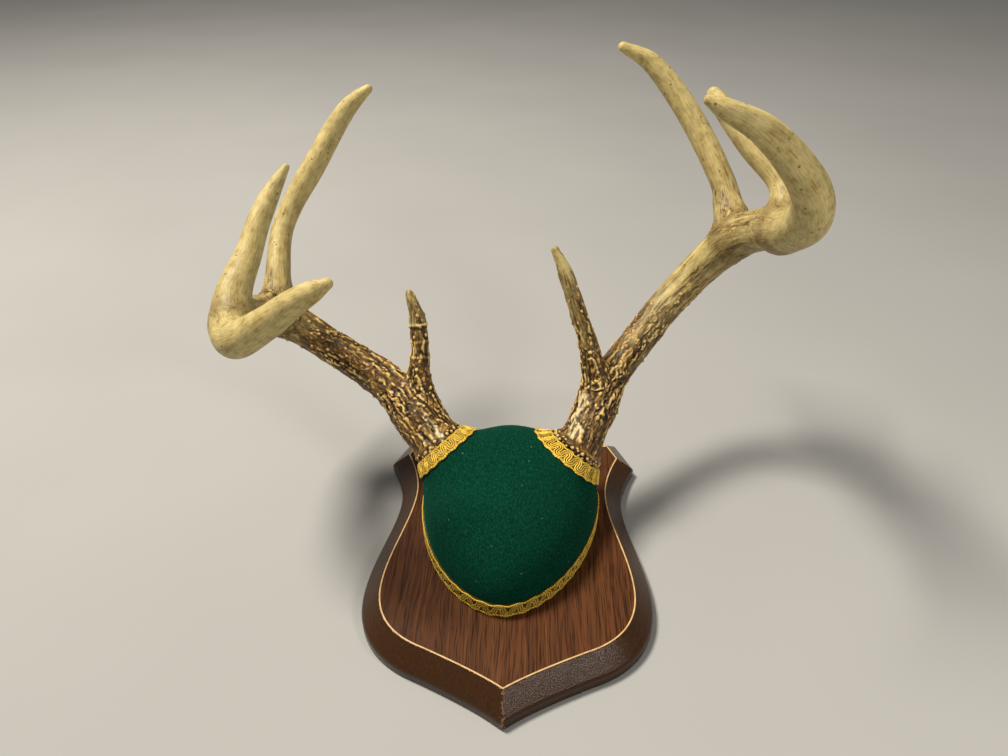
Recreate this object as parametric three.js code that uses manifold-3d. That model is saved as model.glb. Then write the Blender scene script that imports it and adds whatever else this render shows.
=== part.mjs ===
// Antler mount: a pair of whitetail antlers on a felt-covered skull cap, on a shield-shaped plaque.
//
// Millimetres. The plaque lies on its back: its back face is z = 0 and +Z runs out of its front.
// +Y runs to the plaque's flat top edge, -Y to its point, +X to the right seen from the front.
// The origin is the centre of the plaque's back face.

import * as THREE from 'three';
import { mergeVertices } from 'three/addons/utils/BufferGeometryUtils.js';
import Module from 'manifold-3d';

const wasm = await Module();
wasm.setup();

// ---------------------------------------------------------------- driving dimensions

const GAP = 0.3; // clearance between touching pieces, and the width of a parting cut

const PLAQUE = {
  thickness: 22,
  bevelWidth: 14.7, // from the face to the outer edge, in plan
  bevelDrop: 13.1,
  edgeRound: 1.2,
  rim: 0.4, // flat strip of board outside the pinstripe
  inlayDepth: 1.5,
  pinstripe: 1,
};

// Right half of the face's outline, from the point to the corner of the top edge.
// Each curve holds its two handles and its end.
const FACE = {
  point: [0, -130],
  curves: {
    shoulder: [[15, -120], [38, -109], [60, -99]],
    bulge: [[83, -90], [100.3, -74], [100.3, -42]],
    waist: [[100.3, -8], [85.1, 28], [85.1, 62]],
    ear: [[85.1, 80], [92, 99], [99.5, 114.3]],
  },
  corner: [91.5, 132.6],
  curveSteps: 8,
};

const CAP = {
  crest: [0.5, 47],
  halfWidth: 74.5,
  reachDown: 116, // from the crest towards the plaque's point
  reachUp: 60,
  skew: 0.035, // sideways shift for each millimetre towards the plaque's point
  wall: 10, // upright part above the plaque's face
  height: 73,
  planPower: 1.8, // superellipse powers: 2 is an ellipse
  domePower: 2.2,
  around: 40,
  levels: 9,
};

const BRAID = { base: 13.5, collar: 14.5, thickness: 2 }; // widths of the bands

// The seat is where an antler's burr meets the cap: the flat top of a cone in the felt.
const SEAT = { radius: 24.8, flare: 0.38, depth: 28, sides: 24 };

const BURR = {
  profile: [[21.5, 0], [23.5, 1.5], [24.3, 4], [21.5, 7]], // radius and height
  lumps: 13,
  lumpDepth: 0.045,
  stepsPerLump: 3,
};

// seat is the middle of an antler's seat, and lean is the direction in which its axis leaves the cap.
// Stations of each branch: x, y, z and diameter. The first is inside what the branch grows from.
// cut is the distance along the branch from its first station to the cut that parts it.
const ANTLERS = {
  left: {
    seat: [-60, 61, 79],
    lean: [-0.67, 0.43, 0.6],
    beam: [
      [-53, 53, 73, 43], [-68, 67, 85, 40], [-86, 82, 97, 37], [-102, 97, 110, 34],
      [-143, 118, 129, 30], [-177, 130, 145, 30], [-203, 133, 162, 32], [-214, 101, 182, 32],
      [-214, 59, 199, 31], [-198, 23, 207, 29], [-168, 7, 230, 24], [-144, 0, 250, 19],
      [-126, -5, 263, 14], [-116, -6, 269, 7.5],
    ],
    forks: [213, 300],
    tines: {
      brow_tine: {
        cut: 52,
        stations: [[-68, 77, 90, 25], [-79, 96, 123, 18], [-79, 109, 149, 15], [-82, 121, 171, 13],
          [-88, 129, 188, 7]],
      },
      second_tine: {
        cut: 27,
        stations: [[-201, 128, 163, 27], [-205, 140, 180, 26], [-206, 152, 194, 21.5],
          [-207, 183, 219, 19], [-199, 200, 238, 19], [-180, 217, 266, 20], [-153, 239, 306, 16.5],
          [-140, 244, 319, 12.5], [-130, 246, 326, 7.5]],
      },
      third_tine: {
        cut: 29,
        stations: [[-211, 55, 200, 29], [-215, 70, 214, 27], [-208, 104, 237, 20.5],
          [-203, 122, 254, 18.5], [-195, 139, 271, 15], [-183, 152, 289, 6.5]],
      },
    },
  },
  right: {
    seat: [54, 57.5, 78.5],
    lean: [0.61, 0.39, 0.69],
    beam: [
      [53, 51, 71, 40], [63, 72, 89, 36], [79, 101, 113, 32], [110, 140, 138, 28.5],
      [149, 173, 173, 30], [187, 171, 221, 33.5], [202, 143, 244, 34.5], [207, 99, 263, 33.5],
      [205, 63, 286, 30.5], [196, 41, 311, 26], [179, 27, 334, 23], [149, 15, 362, 18],
      [122, 10, 376, 12], [114, 11, 380, 7],
    ],
    forks: [272, 338],
    tines: {
      brow_tine: {
        cut: 43,
        stations: [[77, 91, 103, 24], [69, 101, 134, 19], [64, 109, 153, 16], [55, 117, 178, 14],
          [43, 130, 210, 12.5], [34, 136, 227, 7]],
      },
      second_tine: {
        cut: 33,
        stations: [[186, 172, 221, 28], [187, 188, 234, 29], [184, 201, 246, 24], [181, 209, 256, 21.5],
          [161, 233, 291, 21], [134, 252, 327, 19.5], [113, 259, 347, 15.5], [90, 260, 358, 8]],
      },
      third_tine: {
        cut: 30,
        stations: [[204, 110, 255, 26], [209, 126, 270, 22], [207, 142, 283, 18.5],
          [185, 164, 305, 19], [163, 186, 330, 16], [157, 192, 337, 11]],
      },
    },
  },
};

const BEAM_SIDES = 12;
const TINE_SIDES = 10;
const RING_STEP = 15; // distance between a branch's rings
const TIP_LENGTH = 0.8; // a rounded tip's length, in tip radii
const CUT = { reach: 1.6, sides: 24 }; // radius of a parting cut, in radii of the branch
const PROBE = { radius: 1, sides: 6, rings: 4 }; // ball that finds the piece at a point

// ---------------------------------------------------------------- materials

function finish(color, roughness) {
  return new THREE.MeshStandardMaterial({ color, roughness, metalness: 0 });
}

const FINISH = {
  border: finish(0x3f2416, 0.35),
  walnut: finish(0x5a3322, 0.45),
  inlay: finish(0xd9b27a, 0.5),
  felt: finish(0x064b35, 0.95),
  braid: finish(0xc79a1e, 0.6),
  barkBrown: finish(0x7d6238, 0.7),
  ivory: finish(0xc2b182, 0.5),
};

// ---------------------------------------------------------------- solids

function vector([x, y, z]) {
  return new THREE.Vector3(x, y, z);
}

// A closed body through rings of equal count, fanned shut at its first and last point.
function loft(rings, first, last) {
  const around = rings[0].length;
  const points = [...rings.flat(), first, last];
  const start = points.length - 2;
  const end = points.length - 1;
  const index = [];
  for (let j = 0; j < around; j++) {
    const k = (j + 1) % around;
    index.push(start, k, j);
    for (let i = 0; i < rings.length - 1; i++) {
      const low = i * around;
      const high = low + around;
      index.push(low + j, low + k, high + k, low + j, high + k, high + j);
    }
    const top = (rings.length - 1) * around;
    index.push(end, top + j, top + k);
  }
  const geometry = new THREE.BufferGeometry().setFromPoints(points);
  geometry.setIndex(index);
  return geometry;
}

function solid(geometry) {
  geometry.deleteAttribute('normal');
  geometry.deleteAttribute('uv');
  const merged = mergeVertices(geometry, 1e-4);
  return new wasm.Manifold(new wasm.Mesh({
    numProp: 3,
    vertProperties: new Float32Array(merged.attributes.position.array),
    triVerts: new Uint32Array(merged.index.array),
  }));
}

function mesh(name, body, material) {
  const { vertProperties, triVerts } = body.getMesh();
  const geometry = new THREE.BufferGeometry();
  geometry.setAttribute('position', new THREE.BufferAttribute(vertProperties, 3));
  geometry.setIndex(new THREE.BufferAttribute(triVerts, 1));
  geometry.computeVertexNormals();
  const result = new THREE.Mesh(geometry, material);
  result.name = name;
  return result;
}

// Turns a geometry made about +Y so that +Y points along axis, and moves it to centre.
function along(geometry, centre, axis) {
  const turn = new THREE.Quaternion().setFromUnitVectors(new THREE.Vector3(0, 1, 0), axis);
  geometry.applyQuaternion(turn);
  geometry.translate(centre.x, centre.y, centre.z);
  return solid(geometry);
}

// ---------------------------------------------------------------- plaque

function faceOutline() {
  const half = new THREE.Path();
  half.moveTo(...FACE.point);
  for (const curve of Object.values(FACE.curves)) {
    half.bezierCurveTo(...curve.flat());
  }
  half.lineTo(...FACE.corner);
  const right = half.getPoints(FACE.curveSteps);
  const left = right.slice(1).reverse().map(({ x, y }) => new THREE.Vector2(-x, y));
  return [...right, ...left];
}

// Moves each point of an outline outwards by `out`, keeping its edges parallel.
function offset(outline, out) {
  return outline.map((here, i) => {
    const before = outline.at(i - 1);
    const after = outline[(i + 1) % outline.length];
    const into = here.clone().sub(before).normalize();
    const onward = after.clone().sub(here).normalize();
    const mitre = new THREE.Vector2(into.y + onward.y, -into.x - onward.x);
    mitre.multiplyScalar(out * 2 / mitre.lengthSq());
    return here.clone().add(mitre);
  });
}

function level(outline, z) {
  return outline.map(({ x, y }) => new THREE.Vector3(x, y, z));
}

function plate(outline, low, high) {
  const centre = new THREE.Vector3(0, 0, low);
  return solid(loft([level(outline, low), level(outline, high)], centre, centre.clone().setZ(high)));
}

function makePlaque() {
  const { thickness, bevelWidth, bevelDrop, edgeRound, rim, inlayDepth, pinstripe } = PLAQUE;
  const face = faceOutline();
  const edge = thickness - bevelDrop;
  const outer = offset(face, bevelWidth);
  const bevelled = loft(
    [
      level(outer, 0),
      level(outer, edge - edgeRound),
      level(offset(face, bevelWidth - edgeRound), edge + edgeRound * bevelDrop / bevelWidth),
      level(offset(face, rim), thickness),
    ],
    new THREE.Vector3(0, 0, 0),
    new THREE.Vector3(0, 0, thickness),
  );
  const deck = thickness - inlayDepth;
  const above = thickness + inlayDepth;
  const board = solid(bevelled).subtract(plate(face, deck, above));
  const stripeOut = offset(face, -GAP);
  const stripeIn = offset(face, -GAP - pinstripe);
  const stripe = plate(stripeOut, deck + GAP, thickness).subtract(plate(stripeIn, deck, above));
  const panel = plate(offset(face, -2 * GAP - pinstripe), deck + GAP, thickness);
  return [
    mesh('plaque_board', board, FINISH.border),
    mesh('plaque_pinstripe', stripe, FINISH.inlay),
    mesh('plaque_face', panel, FINISH.walnut),
  ];
}

// ---------------------------------------------------------------- skull cap and braid

function signedPower(value, power) {
  return Math.sign(value) * Math.abs(value) ** power;
}

// The cap's egg-shaped outline in plan, shrunk by `scale` about the crest and moved out by `out`.
function capOutline(scale, out) {
  const points = [];
  for (let i = 0; i < CAP.around; i++) {
    const angle = (i / CAP.around) * 2 * Math.PI;
    const reach = Math.sin(angle) < 0 ? CAP.reachDown : CAP.reachUp;
    const x = (CAP.halfWidth + out) * signedPower(Math.cos(angle), 2 / CAP.planPower);
    const y = (reach + out) * signedPower(Math.sin(angle), 2 / CAP.planPower);
    const shift = Math.min(y, 0) * CAP.skew;
    points.push(new THREE.Vector2(CAP.crest[0] + (x + shift) * scale, CAP.crest[1] + y * scale));
  }
  return points;
}

function makeDome(out) {
  const base = PLAQUE.thickness + GAP;
  const wallTop = base + CAP.wall;
  const rise = CAP.height - CAP.wall + out;
  const rings = [level(capOutline(1, out), base)];
  for (let i = 0; i < CAP.levels; i++) {
    const angle = (i / CAP.levels) * (Math.PI / 2);
    const scale = Math.cos(angle) ** (2 / CAP.domePower);
    rings.push(level(capOutline(scale, out), wallTop + rise * Math.sin(angle) ** (2 / CAP.domePower)));
  }
  const [x, y] = CAP.crest;
  return solid(loft(rings, new THREE.Vector3(x, y, base), new THREE.Vector3(x, y, wallTop + rise)));
}

function seatAxis(side) {
  return vector(ANTLERS[side].lean).normalize();
}

// A cone whose top is the seat: its radius grows by `flare` for each millimetre below it.
function seatCone(side, out, low, high) {
  const axis = seatAxis(side);
  const radius = (below) => SEAT.radius + out + SEAT.flare * below;
  const cone = new THREE.CylinderGeometry(radius(high), radius(low), low - high, SEAT.sides);
  const centre = vector(ANTLERS[side].seat).addScaledVector(axis, -(low + high) / 2);
  return along(cone, centre, axis);
}

function makeCap() {
  const cap = makeDome(0)
    .add(seatCone('left', 0, SEAT.depth, 0))
    .add(seatCone('right', 0, SEAT.depth, 0));
  return mesh('skull_cap', cap, FINISH.felt);
}

function makeBaseBraid() {
  const low = PLAQUE.thickness + GAP;
  const high = low + BRAID.base;
  const ring = plate(capOutline(1, GAP + BRAID.thickness), low, high)
    .subtract(plate(capOutline(1, GAP), low - GAP, high + GAP));
  return mesh('base_braid', ring, FINISH.braid);
}

function makeCollar(side) {
  const over = 2 * GAP;
  const band = seatCone(side, GAP + BRAID.thickness, BRAID.collar + over, over)
    .subtract(seatCone(side, GAP, BRAID.collar + 2 * over, 0))
    .subtract(makeDome(GAP));
  const whole = band.decompose().reduce((most, piece) => (piece.volume() > most.volume() ? piece : most));
  return mesh(`${side}_collar_braid`, whole, FINISH.braid);
}

// ---------------------------------------------------------------- antlers

// The curve through a branch's stations, with its diameter along the way.
function branch(stations) {
  const curve = new THREE.CatmullRomCurve3(stations.map(vector), false, 'centripetal');
  const girth = new THREE.CatmullRomCurve3(
    stations.map((station) => new THREE.Vector3(station[3], 0, 0)), false, 'catmullrom', 0.5);
  const length = curve.getLength();
  const radius = (u) => girth.getPoint(curve.getUtoTmapping(u)).x / 2;
  return { curve, length, radius };
}

// A round taper bent along the branch's curve.
function horn(stations, sides) {
  const { curve, length, radius } = branch(stations);
  const count = Math.ceil(length / RING_STEP);
  const frames = curve.computeFrenetFrames(count, false);
  const rings = [];
  for (let i = 0; i <= count; i++) {
    const centre = curve.getPointAt(i / count);
    const size = radius(i / count);
    const ring = [];
    for (let j = 0; j < sides; j++) {
      const angle = (j / sides) * 2 * Math.PI;
      ring.push(centre.clone()
        .addScaledVector(frames.normals[i], size * Math.cos(angle))
        .addScaledVector(frames.binormals[i], size * Math.sin(angle)));
    }
    rings.push(ring);
  }
  const tip = curve.getPointAt(1).addScaledVector(frames.tangents[count], radius(1) * TIP_LENGTH);
  return solid(loft(rings, curve.getPointAt(0), tip));
}

// A thin disc across a branch, at a distance along it.
function slit(stations, distance) {
  const { curve, length, radius } = branch(stations);
  const u = distance / length;
  const reach = radius(u) * CUT.reach;
  const disc = new THREE.CylinderGeometry(reach, reach, GAP, CUT.sides);
  return along(disc, curve.getPointAt(u), curve.getTangentAt(u));
}

// The burr: a low disc about the seat's axis with a rim of rounded lumps.
function makeBurr(side) {
  const profile = BURR.profile.map(([radius, height]) => new THREE.Vector2(radius, height));
  const [bottom] = profile;
  const top = profile.at(-1);
  const outline = [new THREE.Vector2(0, bottom.y), ...profile, new THREE.Vector2(0, top.y)];
  const disc = new THREE.LatheGeometry(outline, BURR.lumps * BURR.stepsPerLump);
  const position = disc.attributes.position;
  for (let i = 0; i < position.count; i++) {
    const angle = Math.atan2(position.getZ(i), position.getX(i));
    const swell = 1 + BURR.lumpDepth * Math.cos(BURR.lumps * angle);
    position.setX(i, position.getX(i) * swell);
    position.setZ(i, position.getZ(i) * swell);
  }
  const axis = seatAxis(side);
  return along(disc, vector(ANTLERS[side].seat).addScaledVector(axis, GAP), axis);
}

function holds(body, [x, y, z]) {
  const probe = new THREE.SphereGeometry(PROBE.radius, PROBE.sides, PROBE.rings);
  probe.translate(x, y, z);
  return body.intersect(solid(probe)).volume() > 0;
}

// The whole antler is joined, trimmed flat at its seat and parted at its forks.
function makeAntler(side) {
  const { seat, beam, forks, tines } = ANTLERS[side];
  const axis = seatAxis(side);
  const top = vector(seat).dot(axis) + GAP + BURR.profile.at(-1)[1] + GAP;
  let grown = horn(beam, BEAM_SIDES);
  for (const { stations } of Object.values(tines)) {
    grown = grown.add(horn(stations, TINE_SIDES));
  }
  let parted = grown.trimByPlane(axis.toArray(), top);
  for (const distance of forks) {
    parted = parted.subtract(slit(beam, distance));
  }
  for (const { stations, cut } of Object.values(tines)) {
    parted = parted.subtract(slit(stations, cut));
  }
  const pieces = parted.decompose();
  const { curve, length } = branch(beam);
  const onBeam = (distance) => curve.getPointAt(distance / length).toArray();
  const middle = (forks[0] + forks[1]) / 2;
  const probes = {
    lower_beam: [onBeam(forks[0] / 2), FINISH.barkBrown],
    middle_beam: [onBeam(middle), FINISH.ivory],
    beam_tip: [onBeam((forks[1] + length) / 2), FINISH.ivory],
  };
  for (const [name, { stations }] of Object.entries(tines)) {
    probes[name] = [stations.at(-2), name === 'brow_tine' ? FINISH.barkBrown : FINISH.ivory];
  }
  const parts = Object.entries(probes).map(([name, [point, material]]) => {
    const piece = pieces.find((candidate) => holds(candidate, point));
    return mesh(`${side}_${name}`, piece, material);
  });
  return [mesh(`${side}_burr`, makeBurr(side), FINISH.barkBrown), ...parts];
}

// ---------------------------------------------------------------- assembly

const group = new THREE.Group();
group.add(...makePlaque(), makeCap(), makeBaseBraid());
for (const side of ['left', 'right']) {
  group.add(makeCollar(side), ...makeAntler(side));
}

export default group;
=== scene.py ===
"""An antler mount: whitetail antlers on a felt-covered skull cap, on a shield-shaped walnut plaque."""

import bmesh
import bpy
import numpy as np
from bpy.props import FloatProperty, FloatVectorProperty, IntProperty
from mathutils import Matrix, Vector


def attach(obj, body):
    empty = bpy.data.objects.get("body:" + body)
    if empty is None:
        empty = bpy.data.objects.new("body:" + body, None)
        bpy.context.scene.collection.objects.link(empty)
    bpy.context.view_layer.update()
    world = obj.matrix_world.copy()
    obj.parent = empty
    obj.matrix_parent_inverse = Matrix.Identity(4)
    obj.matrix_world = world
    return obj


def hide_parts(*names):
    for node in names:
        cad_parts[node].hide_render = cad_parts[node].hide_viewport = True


bl_info = {
    "name": "Antler Mount",
    "version": (1, 0, 0),
    "blender": (4, 5, 0),
    "location": "3D View > Sidebar > Antler Mount",
    "description": "Builds a whitetail antler mount on a shield plaque around its packed frame",
    "category": "Object",
}

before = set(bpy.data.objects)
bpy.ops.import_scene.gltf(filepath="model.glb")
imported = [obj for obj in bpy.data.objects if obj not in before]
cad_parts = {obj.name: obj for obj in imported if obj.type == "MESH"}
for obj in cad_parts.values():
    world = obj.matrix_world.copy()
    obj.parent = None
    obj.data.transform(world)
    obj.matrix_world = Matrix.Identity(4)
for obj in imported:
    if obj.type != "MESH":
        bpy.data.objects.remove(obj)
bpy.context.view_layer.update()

MM = 0.001  # shapes are worked out in millimetres and stored in metres
TURN = 2 * np.pi


def linear(colour):
    """An sRGB hex colour as linear red, green, blue and alpha.

    Each channel c becomes c / 12.92 below 0.04045, and ((c + 0.055) / 1.055) to the power 2.4 above.
    """
    channels = np.array([colour >> 16 & 255, colour >> 8 & 255, colour & 255]) / 255
    channels = np.where(channels <= 0.04045, channels / 12.92, ((channels + 0.055) / 1.055) ** 2.4)
    return (*(float(channel) for channel in channels), 1.0)


# ---------------------------------------------------------------- sizes shared with the solids, in mm

PLAQUE_TOP = 22.0
BEVEL_WIDTH = 14.7  # from the face to the outer edge, in plan
BEVEL_DROP = 13.1
INLAY_DEPTH = 1.5
CLEARANCE = 0.3
FACE_START = (0, -130)
FACE_CURVES = [  # two handles and the end of each: shoulder, bulge, waist and ear
    [(15, -120), (38, -109), (60, -99)],
    [(83, -90), (100.3, -74), (100.3, -42)],
    [(100.3, -8), (85.1, 28), (85.1, 62)],
    [(85.1, 80), (92, 99), (99.5, 114.3)],
]
FACE_CORNER = (91.5, 132.6)

CAP_CREST = np.array([0.5, 47.0])
CAP_HALF_WIDTH = 74.5
CAP_REACH = (116.0, 60.0)  # from the crest towards the plaque's point, and towards its top edge
CAP_SKEW = 0.035
CAP_BASE = PLAQUE_TOP + CLEARANCE
CAP_WALL = 10.0
CAP_HEIGHT = 73.0
PLAN_POWER = 1.8
DOME_POWER = 2.2

SEAT_RADIUS = 24.8
SEAT_FLARE = 0.38
SEAT_DEPTH = 28.0
SEATS = {"left": np.array([-60.0, 61.0, 79.0]), "right": np.array([54.0, 57.5, 78.5])}
LEANS = {"left": np.array([-0.67, 0.43, 0.6]), "right": np.array([0.61, 0.39, 0.69])}
BASE_BRAID = 13.5  # widths of the bands
COLLAR_BRAID = 14.5

BURR_RADIUS = 22.8
BURR_HALF = 3.2  # half its thickness
BURR_MIDDLE = 3.5  # from the seat, past the clearance

# Stations of each branch: x, y, z and diameter.
ANTLERS = {
    "left": {
        "beam": [
            (-53, 53, 73, 43), (-68, 67, 85, 40), (-86, 82, 97, 37), (-102, 97, 110, 34),
            (-143, 118, 129, 30), (-177, 130, 145, 30), (-203, 133, 162, 32), (-214, 101, 182, 32),
            (-214, 59, 199, 31), (-198, 23, 207, 29), (-168, 7, 230, 24), (-144, 0, 250, 19),
            (-126, -5, 263, 14), (-116, -6, 269, 7.5),
        ],
        "brow_tine": [
            (-68, 77, 90, 25), (-79, 96, 123, 18), (-79, 109, 149, 15), (-82, 121, 171, 13),
            (-88, 129, 188, 7),
        ],
        "second_tine": [
            (-201, 128, 163, 27), (-205, 140, 180, 26), (-206, 152, 194, 21.5), (-207, 183, 219, 19),
            (-199, 200, 238, 19), (-180, 217, 266, 20), (-153, 239, 306, 16.5), (-140, 244, 319, 12.5),
            (-130, 246, 326, 7.5),
        ],
        "third_tine": [
            (-211, 55, 200, 29), (-215, 70, 214, 27), (-208, 104, 237, 20.5), (-203, 122, 254, 18.5),
            (-195, 139, 271, 15), (-183, 152, 289, 6.5),
        ],
    },
    "right": {
        "beam": [
            (53, 51, 71, 40), (63, 72, 89, 36), (79, 101, 113, 32), (110, 140, 138, 28.5),
            (149, 173, 173, 30), (187, 171, 221, 33.5), (202, 143, 244, 34.5), (207, 99, 263, 33.5),
            (205, 63, 286, 30.5), (196, 41, 311, 26), (179, 27, 334, 23), (149, 15, 362, 18),
            (122, 10, 376, 12), (114, 11, 380, 7),
        ],
        "brow_tine": [
            (77, 91, 103, 24), (69, 101, 134, 19), (64, 109, 153, 16), (55, 117, 178, 14),
            (43, 130, 210, 12.5), (34, 136, 227, 7),
        ],
        "second_tine": [
            (186, 172, 221, 28), (187, 188, 234, 29), (184, 201, 246, 24), (181, 209, 256, 21.5),
            (161, 233, 291, 21), (134, 252, 327, 19.5), (113, 259, 347, 15.5), (90, 260, 358, 8),
        ],
        "third_tine": [
            (204, 110, 255, 26), (209, 126, 270, 22), (207, 142, 283, 18.5), (185, 164, 305, 19),
            (163, 186, 330, 16), (157, 192, 337, 11),
        ],
    },
}
# Distances along a branch to the cut that parts the trunk from the crown.
CUTS = {"left": {"beam": 213, "second_tine": 27}, "right": {"beam": 272, "second_tine": 33}}


# ---------------------------------------------------------------- meshes


def make_mesh(name, points, faces, smooth_angle=None, attributes=None, uv=None):
    """A mesh object from points in mm and a list of arrays of corner numbers, one array for each kind of face.

    attributes holds a number or three for each point by name, and uv a pair for each point.
    """
    mesh = bpy.data.meshes.new(name)
    points = np.asarray(points, float).reshape(-1, 3)
    mesh.vertices.add(len(points))
    mesh.vertices.foreach_set("co", (points * MM).astype(np.float32).ravel())
    corners = np.concatenate([kind.ravel() for kind in faces])
    totals = np.concatenate([np.full(len(kind), kind.shape[1]) for kind in faces])
    mesh.loops.add(len(corners))
    mesh.loops.foreach_set("vertex_index", corners.astype(np.int32))
    mesh.polygons.add(len(totals))
    mesh.polygons.foreach_set("loop_start", (np.cumsum(totals) - totals).astype(np.int32))
    mesh.update(calc_edges=True)
    mesh.validate()
    mesh.shade_smooth()
    if smooth_angle is not None:
        mesh.set_sharp_from_angle(angle=np.radians(smooth_angle))
    for key, values in (attributes or {}).items():
        values = np.asarray(values, np.float32)
        kind, field = ("FLOAT", "value") if values.ndim == 1 else ("FLOAT_VECTOR", "vector")
        mesh.attributes.new(key, kind, "POINT").data.foreach_set(field, values.ravel())
    if uv is not None:
        layer = mesh.uv_layers.new(name="thread")
        layer.data.foreach_set("uv", np.asarray(uv, np.float32)[corners].ravel())
    made = bpy.data.objects.new(name, mesh)
    bpy.context.scene.collection.objects.link(made)
    return made


def grid_quads(rows, columns):
    """Faces between neighbouring rows of a grid that closes on itself sideways, numbered row by row."""
    i, j = np.meshgrid(np.arange(rows - 1), np.arange(columns), indexing="ij")
    right = (j + 1) % columns
    here, above = i * columns, (i + 1) * columns
    return np.stack([here + j, here + right, above + right, above + j], -1).reshape(-1, 4)


def ring_quads(rows, columns):
    """The same for a grid whose last row also meets its first."""
    return grid_quads(rows + 1, columns) % (rows * columns)


def fan(ring, centre, inward=False):
    """Triangles from a ring of corner numbers to a centre."""
    after = np.roll(ring, -1)
    pair = (after, ring) if inward else (ring, after)
    return np.stack([*pair, np.full(len(ring), centre)], -1)


def turns(count):
    """The angles of that many even steps round a turn."""
    return np.arange(count) / count * TURN


def directions(first, second, angle):
    """Directions round a circle: the first axis times the cosine, plus the second times the sine."""
    return first[..., None, :] * np.cos(angle)[:, None] + second[..., None, :] * np.sin(angle)[:, None]


def square_to(axis):
    """Two unit directions square to an axis and to each other: the axis crossed with +Z, and with that."""
    first = np.cross(axis, [0, 0, 1.0])
    first /= np.linalg.norm(first)
    return first, np.cross(axis, first)


def unit(vectors):
    """Rows of numbers divided by their own lengths."""
    return vectors / np.linalg.norm(vectors, axis=1, keepdims=True)


def lengths_along(line):
    """The distance from a line's start to each of its points."""
    return np.concatenate([[0], np.cumsum(np.linalg.norm(np.diff(line, axis=0), axis=1))])


def read_at(distance, knots, table):
    """Each column of a table read at distances, evenly between the knots of its rows."""
    return np.stack([np.interp(distance, knots, column) for column in table.T], -1)


def finish_piece(piece, nodes, slot, *materials):
    """Gives a piece its materials, hides the CAD nodes that it stands for and joins it to its body; slot is not
    used.
    """
    for material in materials:
        piece.data.materials.append(material)
    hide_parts(*nodes)
    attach(piece, "root")


# ---------------------------------------------------------------- noise on whole arrays


def hashed(cell, seed):
    """A number from 0 to 1 for each whole-number cell: its coordinates multiplied, mixed and folded."""
    cell = cell.astype(np.int64).astype(np.uint32)
    mixed = cell[..., 0] * np.uint32(374761393) + cell[..., 1] * np.uint32(668265263)
    mixed = mixed + cell[..., 2] * np.uint32(2246822519) + np.uint32(seed * 97 + 13) * np.uint32(3266489917)
    mixed = (mixed ^ (mixed >> np.uint32(13))) * np.uint32(1274126177)
    mixed = (mixed ^ (mixed >> np.uint32(15))) * np.uint32(2246822519)
    return (mixed ^ (mixed >> np.uint32(16))).astype(float) / 2.0**32


def clouds(points, size, seed, octaves=2):
    """Smooth noise about 0: hashed corner values of a grid of that size, eased between corners, in octaves
    of half the size and half the strength."""
    total = np.zeros(len(points))
    for octave in range(octaves):
        place = points / (size / 2**octave)
        cell = np.floor(place)
        ease = place - cell
        ease = ease * ease * (3 - 2 * ease)
        value = np.zeros(len(points))
        for corner in np.ndindex(2, 2, 2):
            weight = np.prod(np.where(np.array(corner) == 1, ease, 1 - ease), axis=1)
            value += weight * hashed(cell + np.array(corner), seed + octave)
        total += (2 * value - 1) / 2**octave
    return total


def drift(points, size, seed):
    """Three smooth noises as one direction and length for each point."""
    return np.stack([clouds(points, size, seed + k) for k in range(3)], -1)


def to_seedling(points, size, seed, jitter=0.85):
    """The distance, in cells, to the nearest of seedlings that stand one to each cell of that size."""
    place = points / size
    cell = np.floor(place)
    nearest = np.full(len(points), 9.0)  # farther than any
    for step in np.ndindex(3, 3, 3):
        home = cell + np.array(step) - 1
        seedling = np.stack([hashed(home, seed + k) for k in range(3)], -1)
        away = np.linalg.norm(home + 0.5 + (seedling - 0.5) * jitter - place, axis=1)
        nearest = np.minimum(nearest, away)
    return nearest


def ramp(value, low, high):
    """0 below low, 1 above high, and an S-shaped ease between them."""
    share = np.clip((value - low) / (high - low), 0, 1)
    return share * share * (3 - 2 * share)


# ---------------------------------------------------------------- plaque

SEAM = 0.06  # gap between the plaque's pieces
ARRIS = 0.08  # width of the inlays' broken edges
ARRIS_DROP = 0.06  # and their depth
FOOT_ROUND = 0.8


def face_outline(steps):
    """The face's outline: four cubic curves and a straight corner from the point up the right side, and
    the same mirrored down the left. A cubic mixes its four points by (1-t)³, 3(1-t)²t, 3(1-t)t² and t³.
    The straight sides are cut into short lengths, so that wear at a corner stays there."""
    t = np.arange(steps)[:, None] / steps
    weights = np.hstack([(1 - t) ** 3, 3 * (1 - t) ** 2 * t, 3 * (1 - t) * t**2, t**3])
    starts = [FACE_START] + [curve[-1] for curve in FACE_CURVES[:-1]]
    curves = [weights @ np.array([start, *curve], float) for start, curve in zip(starts, FACE_CURVES)]
    end, corner = np.array(FACE_CURVES[-1][-1], float), np.array(FACE_CORNER, float)
    side = end + (corner - end) * t
    top = corner * np.hstack([1 - t, np.ones_like(t)])
    right = np.vstack([*curves, side, top])
    left = right[:0:-1] * [-1, 1]
    return np.vstack([right, left])


def sides_at(outline):
    """The side into each corner of a closed outline, and the side onward from it."""
    return outline - np.roll(outline, 1, 0), np.roll(outline, -1, 0) - outline


def offset(outline, out):
    """The outline with each edge moved outwards by out: a corner moves along its mitre."""
    into, onward = (unit(side) for side in sides_at(outline))
    normal = np.stack([into[:, 1] + onward[:, 1], -into[:, 0] - onward[:, 0]], -1)
    return outline + normal * 2 * out / (normal**2).sum(1, keepdims=True)


def corner_wear(outline):
    """1 on an outline's sharp corners and 0 elsewhere."""
    into, onward = sides_at(outline)
    bend = np.abs(np.arctan2(into[:, 0] * onward[:, 1] - into[:, 1] * onward[:, 0], (into * onward).sum(1)))
    return (bend > np.radians(20)).astype(float)


def carried(outline, profile):
    """An edge profile, rows of distance out and height, carried round an outline: its points by row."""
    rows = [np.column_stack([offset(outline, out), np.full(len(outline), z)]) for out, z in profile]
    return np.vstack(rows)


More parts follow.
